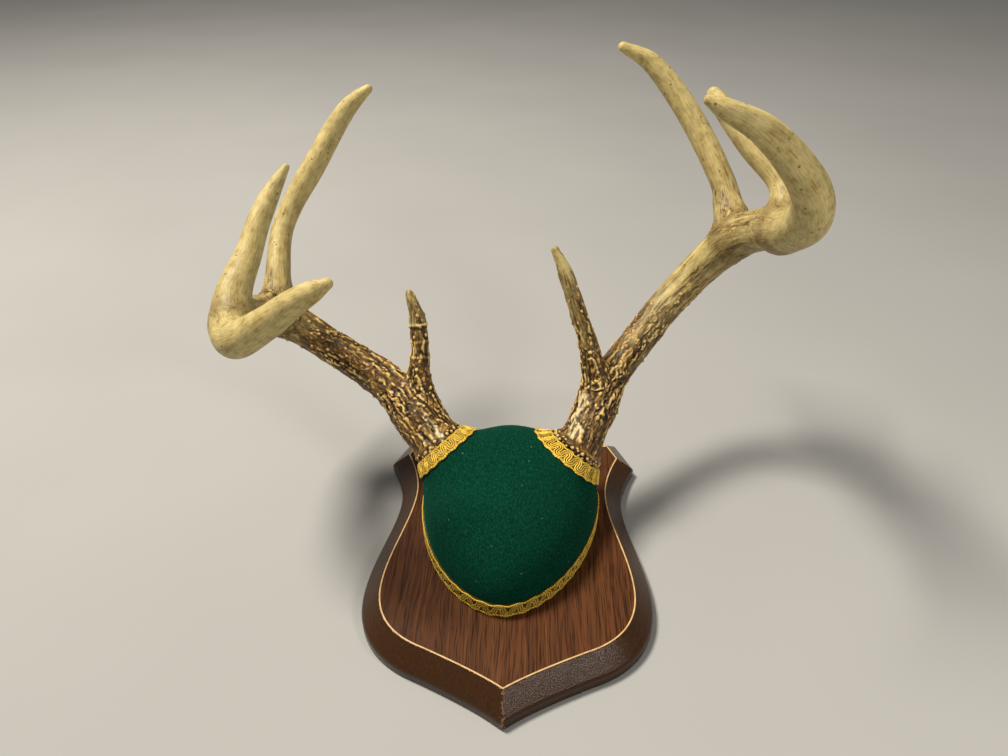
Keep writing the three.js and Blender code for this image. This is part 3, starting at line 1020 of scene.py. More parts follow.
# Smooth worn streaks where the cream bone shows: points and half widths along each.
STREAKS = {
    "left": [(-58, 49, 98, 4), (-64, 56, 101, 3), (-69, 61, 104, 2.2), (-75, 67, 108, 1), (-78, 70, 110, 2),
             (-77, 79, 113, 1.6), (-81, 84, 119, 1.6), (-84, 88, 121, 2.2), (-85, 92, 127, 1.6)],
    "right": [(53, 56, 98, 6.4), (54, 62, 101, 5), (52, 70, 102, 3), (58, 74, 109, 3.4), (61, 81, 113, 4.2),
              (66, 86, 119, 3), (68, 90, 131, 1.8)],
}
RINGS = {"left": {"brow_tine": [(86, 1.3), (60, 0.6), (71, 0.5)]}, "right": {}}  # distance along and height


def branch_frames(points, side, lines, share):
    """How each point lies on its own branch, as if that were straight: across, up and along, with 200 mm
    between the branches. Gives the branch's number, the distances along every branch and the stain too,
    which is each branch's stain there weighted by its share."""
    main = share[:-1].argmax(0)
    straight = np.zeros_like(points)
    stain = np.zeros(len(points))
    alongs = {}
    for k, (name, line) in enumerate(lines.items()):
        foot, along, found = nearest_on(line, points)
        across, up = (np.einsum("ij,ij->i", points - foot, line[key][found]) for key in ("side", "rise"))
        straight = np.where((main == k)[:, None], np.stack([across, up, along + 200 * k], -1), straight)
        stain += share[k] * np.interp(along, *np.array(STAIN[side][name], float).T)
        alongs[name] = along
    return straight, main, alongs, stain


def streak_depth(points, streak):
    """How far points lie outside a streak: the least distance to its straight pieces, less the half width
    there, which runs evenly from each of its points to the next."""
    streak = np.array(streak, float)
    depths = []
    for start, end in zip(streak[:-1], streak[1:]):
        ahead = end[:3] - start[:3]
        share = np.clip((points - start[:3]) @ ahead / (ahead @ ahead), 0, 1)
        away = np.linalg.norm(points - start[:3] - share[:, None] * ahead, axis=1)
        depths.append(away - start[3] - share * (end[3] - start[3]))
    return np.min(depths, axis=0)


def worn_patch(points, straight, side):
    """1 on the worn streaks and 0 elsewhere, with ragged edges from a drift and gaps where noise is low."""
    wobble = points + 3.2 * drift(points, size=4.5, seed=40)
    patch = 1 - ramp(streak_depth(wobble, STREAKS[side]), -1.6, 1.0)
    return patch * ramp(clouds(straight * [1, 1, 0.35], size=3.2, seed=46, octaves=3), -0.65, 0.05)


def raised_rings(points, side, lines, main, alongs):
    """The height of the rings round a tine: a bell of 1.6 mm about each distance along, which wavers."""
    raised = np.zeros(len(points))
    for name, bands in RINGS[side].items():
        along = alongs[name] + 1.6 * clouds(points, size=9, seed=44)
        on = main == list(lines).index(name)
        raised += sum(on * height * np.exp(-(((along - at) / 1.6) ** 2)) for at, height in bands)
    return raised


def bark(points, straight):
    """Relief of rough antler, in mm: knots and furrows of noise, heavy in some patches and light in others,
    beads and larger pearls about scattered seedlings, and slow lumps. Patterns on straight come out longer
    along the branch by 1 over its third factor."""
    warp = 1.5 * drift(straight, size=7, seed=50)
    drawn = straight * [1, 1, 0.34] + warp
    knots = clouds(drawn, size=2.9, seed=60, octaves=3)
    furrow = ramp(np.abs(clouds(drawn, size=4.2, seed=65)), 0, 0.17) - 1
    bead = ramp(0.5 - to_seedling(straight * [1, 1, 0.7] + warp, size=3.6, seed=70), 0.0, 0.4)
    pearl = ramp(0.26 - to_seedling(straight * [1, 1, 0.8], size=7.5, seed=75), 0.0, 0.22)
    lumps = clouds(straight * [1, 1, 0.5], size=12, seed=80)
    spots = ramp(clouds(points, size=15, seed=90), -0.1, 0.5)
    heavy = 0.55 + 0.75 * ramp(clouds(straight * [1, 1, 0.6], size=14, seed=92), -0.3, 0.35)
    return heavy * (0.95 * knots + 0.6 * furrow) + 0.5 * bead * spots + 1.2 * pearl + 0.9 * lumps


def with_burr(relief, points, side, burr):
    """The relief with the burr's in its place: large beads on its rim and a slow unevenness behind."""
    axis, centre = burr_frame(side)
    rim = burr * ramp(BURR_HALF * 0.9 - (points - centre) @ axis, 0, 1.5)
    beads = 1.7 * ramp(0.6 - to_seedling(points, size=3.6, seed=99, jitter=0.6), 0, 0.4) - 0.5
    smooth = 0.25 * clouds(points, size=7, seed=101)
    return relief * (1 - burr) + burr * smooth * (1 - rim) + rim * beads


def antler_skin(side, settings, crown):
    """Points, faces, attributes and lines of an antler's rough trunk or smooth crown.

    The seeds are fused, and each point is moved onto the webbed shape. It then moves out by its relief: the
    bark times how rough it is there, which follows the stain, with worn patches and rings on the trunk, and a
    slow unevenness and fine grain on both. The relief attribute is the relief less its slow part.
    """
    lines = {name: branch_line(stations) for name, stations in ANTLERS[side].items()}
    grain = settings.crown_grain if crown else settings.trunk_grain
    points, quads = fused(seeds(side, lines, crown), grain / MM)
    web = settings.web / MM
    for _ in range(2):
        points, _ = onto_shape(points, side, lines, web)
    points, share = onto_shape(relaxed(points, quads, 2), side, lines, web)
    straight, main, alongs, stain = branch_frames(points, side, lines, share)
    burr = share[-1]
    stain = np.clip(stain / np.maximum(1 - burr, 0.05), 0, 1) * (1 - burr) + burr
    streaky = 0.34 * clouds(straight * [1, 1, 0.14], size=5, seed=3, octaves=3)
    streaky = streaky + 0.12 * clouds(points, size=22, seed=6)
    stain = np.clip(stain + streaky * ramp(stain, 0.02, 0.3) * (1 - 0.75 * ramp(stain, 0.75, 1)), 0, 1)
    patch = raised = np.zeros(len(points))
    if not crown:
        patch = worn_patch(points, straight, side)
        raised = raised_rings(points, side, lines, main, alongs)
    relief = ramp(stain, 0.1, 0.8) * (1 - 0.45 * patch) * bark(points, straight)
    relief += 0.6 * patch + raised
    uneven = 0.3 * clouds(straight * [1, 1, 0.35], size=24, seed=95)
    relief += uneven + 0.05 * clouds(straight * [1, 1, 0.15], size=3, seed=97)
    if not crown:
        relief = with_burr(relief, points, side, burr)
    level = relief.copy()
    edges = quad_edges(quads)
    for _ in range(LEVELLING):
        level = (level + neighbour_mean(level, edges, len(points))) / 2
    points = points + point_normals(points, quads) * (relief * settings.relief)[:, None]
    attributes = {
        "stain": np.clip(stain * (1 - patch * (0.72 + 0.2 * clouds(points, size=6, seed=45))), 0, 1),
        "relief": np.clip(0.5 + 0.72 * (relief - level), 0, 1),
        "worn": patch,
        "crease": ramp(1 - share.max(0), 0.04, 0.4),
        "straight": straight * MM,
        "branch": main.astype(float),
    }
    return points, quads, attributes, lines


def part_at_cuts(name, skin, cuts, crown):
    """Cuts a skin square to its branches at their parting cuts, keeps one side and closes the holes flat.
    What is cut is listed in the mesh's own order, so that every run gives the same faces in the same order."""
    points, quads, attributes, lines = skin
    piece = make_mesh(name, points, [quads], attributes=attributes)
    whole = bmesh.new()
    whole.from_mesh(piece.data)
    branch = whole.verts.layers.float["branch"]
    for number, (key, line) in enumerate(lines.items()):
        if key not in cuts:
            continue
        centre = read_at(cuts[key], line["distance"], line["place"]) * MM
        ahead = read_at(cuts[key], line["distance"], line["ahead"])
        reach = (np.hypot(np.interp(cuts[key], line["distance"], line["radius"]), OVERRUN) + 3) * MM
        places = np.array([v.co for v in whole.verts])
        close = np.linalg.norm(places - centre, axis=1) < reach
        some = [v for v, inside in zip(whole.verts, close) if inside and round(v[branch]) == number]
        held = set(some)
        faces = [f for f in whole.faces if all(v in held for v in f.verts)]
        edges = dict.fromkeys(e for f in faces for e in f.edges)
        bmesh.ops.bisect_plane(
            whole, geom=[*faces, *edges, *some], plane_co=centre, plane_no=ahead,
            clear_outer=not crown, clear_inner=crown, dist=1e-7,
        )
        bmesh.ops.holes_fill(whole, edges=[e for e in whole.edges if e.is_boundary])
    bmesh.ops.recalc_face_normals(whole, faces=whole.faces)
    whole.to_mesh(piece.data)
    whole.free()
    piece.data.shade_smooth()
    piece.data.set_sharp_from_angle(angle=np.radians(75))
    return piece


class ANTLERMOUNT_OT_antlers(bpy.types.Operator):
    """Grow both antlers: a rough stained trunk and a smooth pale crown each"""

    bl_idname = "antlermount.antlers"
    bl_label = "Antlers"

    def execute(self, context):
        settings = context.scene.antlermount_antlers
        material = antler_bone(settings)
        parts = {  # whether it is the crown, its slot and its nodes
            "trunk": (False, "antler_brown", ("burr", "lower_beam", "brow_tine")),
            "crown": (True, "antler_pale", ("middle_beam", "beam_tip", "second_tine", "third_tine")),
        }
        for side in ANTLERS:
            for part, (crown, slot, nodes) in parts.items():
                skin = antler_skin(side, settings, crown)
                piece = part_at_cuts(f"{side}_{part}_piece", skin, CUTS[side], crown)
                finish_piece(piece, [f"{side}_{node}" for node in nodes], slot, material)
        return {"FINISHED"}


# ---------------------------------------------------------------- materials


def add(tree, kind, settings=None, **links):
    """Adds a node. settings are its properties, its inputs' values and, for a ramp, its stops as pairs of
    place and colour. links are the inputs, by name or by number after an underscore, and what feeds them."""
    made = tree.nodes.new(kind)
    for key, value in (settings or {}).items():
        if key == "stops":
            elements = made.color_ramp.elements
            while len(elements) < len(value):
                elements.new(0.5)
            for element, (place, colour) in zip(elements, value):
                element.position = place
                element.color = colour
        elif isinstance(key, str) and hasattr(made, key):
            setattr(made, key, value)
        else:
            made.inputs[key].default_value = value
    for key, output in links.items():
        tree.links.new(output, made.inputs[int(key[1:]) if key.startswith("_") else key])
    return made


def new_material(name, surface):
    """A node material, its tree, and its Principled shader with those values, joined to the output."""
    material = bpy.data.materials.new(name)
    material.use_nodes = True
    tree = material.node_tree
    tree.nodes.clear()
    shader = add(tree, "ShaderNodeBsdfPrincipled", surface)
    add(tree, "ShaderNodeOutputMaterial", Surface=shader.outputs["BSDF"])
    return material, tree, shader


def shade(colour, factor):
    """A linear colour made lighter or darker."""
    return (*(min(channel * factor, 1.0) for channel in tuple(colour)[:3]), 1.0)


WHITE = (1.0, 1.0, 1.0, 1.0)
MULTIPLY = {"data_type": "RGBA", "blend_type": "MULTIPLY", 0: 1.0}


def tones(colour, *stops):
    """A ramp's stops, from pairs of a place and how light the colour is there."""
    return [(place, shade(colour, factor)) for place, factor in stops]


def stained_border(settings):
    """Maple-like hardwood under an opaque brown stain and satin lacquer: almost no grain shows, the sheen
    is soft, and the stain is rubbed pale along the mitred corners."""
    material, tree, shader = new_material("stained_border", {"Roughness": 0.15, "Specular IOR Level": 0.24})
    place = add(tree, "ShaderNodeTexCoord").outputs["Object"]
    # faint grain along the board, lines about 1.5 mm apart
    grain = add(tree, "ShaderNodeMapping", {"Scale": (1.0, 0.05, 1.0)}, Vector=place)
    lines = add(tree, "ShaderNodeTexNoise", {"Scale": 650.0, "Detail": 4.0}, Vector=grain.outputs["Vector"])
    stain = add(tree, "ShaderNodeValToRGB", {"stops": tones(settings.border_colour, (0.3, 0.78), (0.7, 1.15))},
                Fac=lines.outputs["Fac"])
    wear = add(tree, "ShaderNodeAttribute", {"attribute_name": "wear"})
    # scuffs about 2.4 mm across break the worn line
    scuffs = add(tree, "ShaderNodeTexNoise", {"Scale": 420.0, "Detail": 2.0}, Vector=place)
    broken = add(tree, "ShaderNodeMath", {"operation": "MULTIPLY"},
                 _0=wear.outputs["Fac"], _1=scuffs.outputs["Fac"])
    edge = add(tree, "ShaderNodeValToRGB", {"stops": tones(WHITE, (0.42, 0), (0.52, 1))},
               Fac=broken.outputs[0])
    colour = add(tree, "ShaderNodeMix", {"data_type": "RGBA", 7: linear(0x7A5A3C)},
                 _0=edge.outputs["Color"], _6=stain.outputs["Color"])
    tree.links.new(colour.outputs[2], shader.inputs["Base Color"])
    # lacquer's orange peel, about 0.8 mm
    peel = add(tree, "ShaderNodeTexNoise", {"Scale": 1300.0, "Detail": 3.0}, Vector=place)
    bump = add(tree, "ShaderNodeBump", {"Strength": 0.65, "Distance": 0.0004}, Height=peel.outputs["Fac"])
    tree.links.new(bump.outputs["Normal"], shader.inputs["Normal"])
    return material


def inlay_line(settings):
    """Pale maple stringing let into the face: an even satin line with a faint unevenness."""
    material, tree, shader = new_material("maple_stringing", {"Roughness": 0.4})
    place = add(tree, "ShaderNodeTexCoord").outputs["Object"]
    # a tone that changes every 4 mm or so
    uneven = add(tree, "ShaderNodeTexNoise", {"Scale": 240.0, "Detail": 3.0}, Vector=place)
    tone = add(tree, "ShaderNodeValToRGB", {"stops": tones(settings.stripe_colour, (0.3, 0.7), (0.7, 1.1))},
               Fac=uneven.outputs["Fac"])
    tree.links.new(tone.outputs["Color"], shader.inputs["Base Color"])
    return material


def walnut_veneer(settings):
    """Straight-grained walnut under satin lacquer: dark and light bands run the length of the board, with
    long dark pores between them."""
    material, tree, shader = new_material("walnut_veneer", {"Roughness": 0.42, "Specular IOR Level": 0.14})
    place = add(tree, "ShaderNodeTexCoord").outputs["Object"]
    sway = add(tree, "ShaderNodeTexNoise", {"Scale": 14.0, "Detail": 1.0}, Vector=place)
    bent = add(tree, "ShaderNodeVectorMath", {"operation": "MULTIPLY_ADD", 1: (0.012, 0.0, 0.0)},
               _0=sway.outputs["Color"], _2=place)
    # bands about 4 mm wide and 170 mm long, with finer ones in them
    bands = add(tree, "ShaderNodeMapping", {"Scale": (1.0, 0.022, 1.0)}, Vector=bent.outputs["Vector"])
    broad = add(tree, "ShaderNodeTexNoise", {"Scale": 260.0, "Detail": 4.0, "Roughness": 0.68},
                Vector=bands.outputs["Vector"])
    # pores 0.8 mm wide and 25 mm long, coarser than real ones so that they show
    pores = add(tree, "ShaderNodeMapping", {"Scale": (1.0, 0.03, 1.0)}, Vector=bent.outputs["Vector"])
    fine = add(tree, "ShaderNodeTexNoise", {"Scale": 1300.0, "Detail": 2.0}, Vector=pores.outputs["Vector"])
    wood = add(tree, "ShaderNodeValToRGB",
               {"stops": tones(settings.face_colour, (0.28, 0.55), (0.45, 0.9), (0.58, 1.15), (0.75, 1.55))},
               Fac=broad.outputs["Fac"])
    dark = add(tree, "ShaderNodeValToRGB", {"stops": tones(WHITE, (0.38, 0.36), (0.52, 1.0))},
               Fac=fine.outputs["Fac"])
    colour = add(tree, "ShaderNodeMix", MULTIPLY, _6=wood.outputs["Color"], _7=dark.outputs["Color"])
    # painted shade: the face darkens over 80 mm towards its left edge
    across = add(tree, "ShaderNodeSeparateXYZ", Vector=bent.outputs["Vector"])
    left_shade_share = add(tree, "ShaderNodeMapRange", {"From Min": -0.1, "From Max": -0.02}, Value=across.outputs["X"])
    left_shade = add(tree, "ShaderNodeValToRGB", {"stops": tones(WHITE, (0.0, 0.6), (1.0, 1.0))},
                 Fac=left_shade_share.outputs["Result"])
    colour = add(tree, "ShaderNodeMix", MULTIPLY, _6=colour.outputs[2], _7=left_shade.outputs["Color"])
    tree.links.new(colour.outputs[2], shader.inputs["Base Color"])
    bump = add(tree, "ShaderNodeBump", {"Strength": 0.12, "Distance": 0.0003}, Height=fine.outputs["Fac"])
    tree.links.new(bump.outputs["Normal"], shader.inputs["Normal"])
    return material


def pressed_felt(settings):
    """Pressed wool felt, dyed dark green: matt, with a pale haze of raised fibres and a mottled nap."""
    material, tree, shader = new_material("pressed_wool_felt", {
        "Roughness": 0.95, "Specular IOR Level": 0.05,
        "Sheen Weight": 0.16, "Sheen Roughness": 0.4, "Sheen Tint": linear(0x2E9A80),
    })
    place = add(tree, "ShaderNodeTexCoord").outputs["Object"]
    # fibres lying over each other, strokes about 1 mm wide and 2.5 mm long, drawn coarse so that they show
    laid = add(tree, "ShaderNodeMapping", {"Rotation": (0.0, 0.0, 0.3), "Scale": (1.0, 0.4, 0.8)}, Vector=place)
    nap = add(tree, "ShaderNodeTexNoise", {"Scale": 950.0, "Detail": 3.0, "Roughness": 0.7},
              Vector=laid.outputs["Vector"])
    dye = add(tree, "ShaderNodeValToRGB",
              {"stops": tones(settings.felt_colour, (0.32, 0.5), (0.5, 0.9), (0.68, 1.9))},
              Fac=nap.outputs["Fac"])
    # pale specks of fluff, about 0.8 mm across and at most one every 10 mm
    fluff = add(tree, "ShaderNodeTexVoronoi", {"Scale": 95.0}, Vector=place)
    speck = add(tree, "ShaderNodeValToRGB", {"stops": tones(WHITE, (0.035, 1), (0.05, 0))},
                Fac=fluff.outputs["Distance"])
    colour = add(tree, "ShaderNodeMix", {"data_type": "RGBA", 7: linear(0x5E8F7C)},
                 _0=speck.outputs["Color"], _6=dye.outputs["Color"])
    tree.links.new(colour.outputs[2], shader.inputs["Base Color"])
    bump = add(tree, "ShaderNodeBump", {"Strength": 0.5, "Distance": 0.0006}, Height=nap.outputs["Fac"])
    tree.links.new(bump.outputs["Normal"], shader.inputs["Normal"])
    return material


def gold_braid(settings):
    """Rayon cord wound with gold thread: silky, with fine slanting turns; painted shade darkens each cord's
    flanks, so that it is bright along its top, and the sheet between the cords is painted dark as shade."""
    name = "gold_rayon_braid"
    if name in bpy.data.materials:
        return bpy.data.materials[name]
    material, tree, shader = new_material(name, {
        "Roughness": 0.36, "Specular IOR Level": 1.0, "Specular Tint": linear(0xFFDA84),
        "Sheen Weight": 0.4, "Sheen Tint": linear(0xFFE58A),
    })
    thread = add(tree, "ShaderNodeUVMap", {"uv_map": "thread"})
    # the UV holds mm along a cord and turns round it: thread 0.5 mm apart, slanting 1.5 mm in a turn
    turns = add(tree, "ShaderNodeMapping", {"Scale": (2.0, 3.0, 1.0)}, Vector=thread.outputs["UV"])
    split = add(tree, "ShaderNodeSeparateXYZ", Vector=turns.outputs["Vector"])
    slant = add(tree, "ShaderNodeMath", {"operation": "ADD"}, _0=split.outputs["X"], _1=split.outputs["Y"])
    angle = add(tree, "ShaderNodeMath", {"operation": "MULTIPLY", 1: float(TURN)}, _0=slant.outputs[0])
    wave = add(tree, "ShaderNodeMath", {"operation": "SINE"}, _0=angle.outputs[0])
    place = add(tree, "ShaderNodeTexCoord").outputs["Object"]
    uneven = add(tree, "ShaderNodeTexNoise", {"Scale": 380.0, "Detail": 2.0}, Vector=place)
    gold = add(tree, "ShaderNodeValToRGB", {"stops": tones(settings.gold_colour, (0.32, 1.0), (0.66, 1.4))},
               Fac=uneven.outputs["Fac"])
    # painted shade: the sheet between the cords is painted dark, at 0.16 of the gold
    ground = add(tree, "ShaderNodeAttribute", {"attribute_name": "ground"})
    colour = add(tree, "ShaderNodeMix", {"data_type": "RGBA", 7: shade(settings.gold_colour, 0.16)},
                 _0=ground.outputs["Fac"], _6=gold.outputs["Color"])
    # the cords' flanks are in each other's shade: they darken from about 60 to 85 degrees off their tops
    flank = add(tree, "ShaderNodeSeparateXYZ", Vector=thread.outputs["UV"])
    round_cord = add(tree, "ShaderNodeMath", {"operation": "MULTIPLY", 1: float(TURN)},
                     _0=flank.outputs["Y"])
    facing = add(tree, "ShaderNodeMath", {"operation": "COSINE"}, _0=round_cord.outputs[0])
    shadow = add(tree, "ShaderNodeValToRGB", {"stops": tones(WHITE, (0.12, 0.12), (0.46, 1.0))},
                 Fac=facing.outputs[0])
    shaded = add(tree, "ShaderNodeMix", MULTIPLY, _6=colour.outputs[2], _7=shadow.outputs["Color"])
    tree.links.new(shaded.outputs[2], shader.inputs["Base Color"])
    bump = add(tree, "ShaderNodeBump", {"Strength": 0.35, "Distance": 0.0002}, Height=wave.outputs[0])
    tree.links.new(bump.outputs["Normal"], shader.inputs["Normal"])
    return material


def antler_bone(settings):
    """Antler bone: stained brown below, dark in its furrows and worn to tan and cream on its ridges, with
    painted shade in the furrows, a painted highlight on the ridge tops and rusty clouds, and bare cream bone on
    the worn streaks, brightened by a painted highlight; above it is rubbed to a pale ivory with tan clouds and
    a fine long grain."""
    material, tree, shader = new_material("antler_bone", {"Specular IOR Level": 0.28})
    stain = add(tree, "ShaderNodeAttribute", {"attribute_name": "stain"})
    relief = add(tree, "ShaderNodeAttribute", {"attribute_name": "relief"})
    straight = add(tree, "ShaderNodeAttribute", {"attribute_name": "straight"})
    long = add(tree, "ShaderNodeMapping", {"Scale": (1.0, 1.0, 0.25)}, Vector=straight.outputs["Vector"])
    # furrows about 2 mm apart and 8 mm long
    furrows = add(tree, "ShaderNodeTexNoise", {"Scale": 520.0, "Detail": 4.0, "Roughness": 0.7},
                  Vector=long.outputs["Vector"])
    fine = add(tree, "ShaderNodeMath", {"operation": "MULTIPLY", 1: 0.5}, _0=furrows.outputs["Fac"])
    # patches about 12 mm across lie darker or more worn than the rest
    patchy = add(tree, "ShaderNodeTexNoise", {"Scale": 85.0, "Detail": 2.0}, Vector=straight.outputs["Vector"])
    level = add(tree, "ShaderNodeMath", {"operation": "MULTIPLY_ADD", 1: 0.4},
                _0=patchy.outputs["Fac"], _2=fine.outputs[0])
    height = add(tree, "ShaderNodeMath", {"operation": "MULTIPLY_ADD", 1: 0.72},
                 _0=relief.outputs["Fac"], _2=level.outputs[0])
    # painted shade in the hollows and a painted highlight on the ridge tops, over real stain and wear
    brown = add(tree, "ShaderNodeValToRGB", {"stops": [
        (0.6, shade(settings.brown_colour, 0.08)), (0.73, shade(settings.brown_colour, 0.4)),
        (0.84, shade(settings.brown_colour, 1.05)), (0.93, linear(0xA88644)), (1.0, linear(0xDCC078)),
    ]}, Fac=height.outputs[0])
    # rusty clouds about 20 mm across
    cloud = add(tree, "ShaderNodeTexNoise", {"Scale": 50.0, "Detail": 2.0}, Vector=straight.outputs["Vector"])
    rust = add(tree, "ShaderNodeMapRange", {"From Min": 0.48, "From Max": 0.66, "To Max": 0.28},
               Value=cloud.outputs["Fac"])
    rusty = add(tree, "ShaderNodeMix", {"data_type": "RGBA", "blend_type": "MULTIPLY", 7: linear(0xF0A878)},
                _0=rust.outputs["Result"], _6=brown.outputs["Color"])
    # tan clouds about 9 mm across, and the polished bone's grain, 1 mm apart and 10 mm long
    slow = add(tree, "ShaderNodeTexNoise", {"Scale": 110.0, "Detail": 4.0, "Roughness": 0.6},
               Vector=straight.outputs["Vector"])
    drawn = add(tree, "ShaderNodeMapping", {"Scale": (1.0, 1.0, 0.1)}, Vector=straight.outputs["Vector"])
    grain = add(tree, "ShaderNodeTexNoise", {"Scale": 1000.0, "Detail": 2.0}, Vector=drawn.outputs["Vector"])
    light = add(tree, "ShaderNodeMath", {"operation": "MULTIPLY", 1: 0.45}, _0=grain.outputs["Fac"])
    tone = add(tree, "ShaderNodeMath", {"operation": "MULTIPLY_ADD", 1: 0.55},
               _0=slow.outputs["Fac"], _2=light.outputs[0])
    ivory = add(tree, "ShaderNodeValToRGB", {"stops": [
        (0.36, linear(0x9C8448)), (0.5, shade(settings.ivory_colour, 0.92)),
        (0.62, shade(settings.ivory_colour, 1.14)),
    ]}, Fac=tone.outputs[0])
    # pits and flecks up to 2 mm across, 8 mm apart, and the same tone in the forks
    flecks = add(tree, "ShaderNodeTexVoronoi", {"Scale": 125.0}, Vector=straight.outputs["Vector"])
    fleck = add(tree, "ShaderNodeValToRGB", {"stops": tones(WHITE, (0.08, 0.8), (0.14, 0))},
                Fac=flecks.outputs["Distance"])
    crease = add(tree, "ShaderNodeAttribute", {"attribute_name": "crease"})
    soft = add(tree, "ShaderNodeMath", {"operation": "MULTIPLY_ADD", 1: 0.5},
               _0=crease.outputs["Fac"], _2=fleck.outputs["Color"])
    handled = add(tree, "ShaderNodeMix", {"data_type": "RGBA", 7: shade(settings.brown_colour, 0.8)},
                  _0=soft.outputs[0], _6=ivory.outputs["Color"])
    # dark hairlines where the stain thins out, 1.2 mm wide and 17 mm long
    hair = add(tree, "ShaderNodeMapping", {"Scale": (1.0, 1.0, 0.07)}, Vector=straight.outputs["Vector"])
    lines = add(tree, "ShaderNodeTexNoise", {"Scale": 850.0, "Detail": 3.0}, Vector=hair.outputs["Vector"])
    line = add(tree, "ShaderNodeValToRGB", {"stops": tones(WHITE, (0.4, 1), (0.5, 0))},
               Fac=lines.outputs["Fac"])
    some = add(tree, "ShaderNodeMapRange", {"From Min": 0.06, "From Max": 0.35, "To Max": 0.8},
               Value=stain.outputs["Fac"])
    drawn_in = add(tree, "ShaderNodeMath", {"operation": "MULTIPLY"}, _0=line.outputs["Color"],
                   _1=some.outputs["Result"])
    lined = add(tree, "ShaderNodeMix", {"data_type": "RGBA", 7: shade(settings.brown_colour, 0.45)},
                _0=drawn_in.outputs[0], _6=handled.outputs[2])
    # bare cream bone on the ridges of the worn streaks, brightened as a painted highlight
    worn = add(tree, "ShaderNodeAttribute", {"attribute_name": "worn"})
    rubbed = add(tree, "ShaderNodeMath", {"operation": "MULTIPLY"},
                 _0=worn.outputs["Fac"], _1=relief.outputs["Fac"])
    bared_and_highlit = add(tree, "ShaderNodeMix", {"data_type": "RGBA", 7: linear(0xF6E4B0)},
                _0=rubbed.outputs[0], _6=lined.outputs[2])
    colour = add(tree, "ShaderNodeMix", {"data_type": "RGBA"},
                 _0=stain.outputs["Fac"], _6=bared_and_highlit.outputs[2], _7=rusty.outputs[2])
    tree.links.new(colour.outputs[2], shader.inputs["Base Color"])
    # the stained bone is a little glossier than the ivory
    gloss = add(tree, "ShaderNodeMapRange", {"To Min": 0.52, "To Max": 0.42}, Value=stain.outputs["Fac"])
    tree.links.new(gloss.outputs["Result"], shader.inputs["Roughness"])
    strong = add(tree, "ShaderNodeMapRange", {"To Min": 0.12, "To Max": 1.0}, Value=stain.outputs["Fac"])
    deep = add(tree, "ShaderNodeMath", {"operation": "MULTIPLY"},
               _0=furrows.outputs["Fac"], _1=strong.outputs["Result"])
    bump = add(tree, "ShaderNodeBump", {"Strength": 0.8, "Distance": 0.0012}, Height=deep.outputs[0])
    tree.links.new(bump.outputs["Normal"], shader.inputs["Normal"])
    return material


# ---------------------------------------------------------------- stage


class StageSettings(bpy.types.PropertyGroup):
    floor_colour: FloatVectorProperty(
        name="Floor colour", description="Plain pale floor", subtype="COLOR", size=4,
        default=linear(0xA2A29F), min=0, max=1,
    )
    key_power: FloatProperty(
        name="Key light", description="Power of the soft light above and left, in watts", default=110, min=0,
    )
    fill_power: FloatProperty(
        name="Fill light", description="Power of the light low on the right, in watts", default=5.0, min=0,
    )
    world_light: FloatProperty(
        name="Room light", description="Strength of the even light from all sides", default=0.22, min=0,
    )


CAMERA_PLACE = (0.014561, -0.43422547, 0.497444954)
CAMERA_HEADING = -0.0404528  # turned about +Z from looking along +Y
CAMERA_PITCH = np.radians(35.0)  # below the horizontal
CAMERA_ROLL = 0.006577
LENS = 27.036  # mm, on a sensor 36 mm wide
FLOOR_HALF = 8000.0  # half its side, in mm
FLOOR_DEPTH = -0.1  # just under the plaque's back
KEY_LIGHT = {"place": (-1.2, 0.45, 2.5), "target": (0, 0.05, 0.1), "size": 0.7, "colour": linear(0xFFF6EA)}
FILL_LIGHT = {"place": (0.79, -0.68, 0.83), "target": (0, 0, 0), "size": 0.24, "colour": linear(0xFFF8F0)}


def area_light(name, power, place, target, size, colour):
    """A square soft light that looks at a point."""
    data = bpy.data.lights.new(name, "AREA")
    data.size = size
    data.energy = power
    data.color = tuple(colour)[:3]
    light = bpy.data.objects.new(name, data)
    aim = np.array(target, float) - place
    light.matrix_world = Matrix.Translation(place) @ Vector(aim).to_track_quat("-Z", "Y").to_matrix().to_4x4()
    bpy.context.scene.collection.objects.link(light)


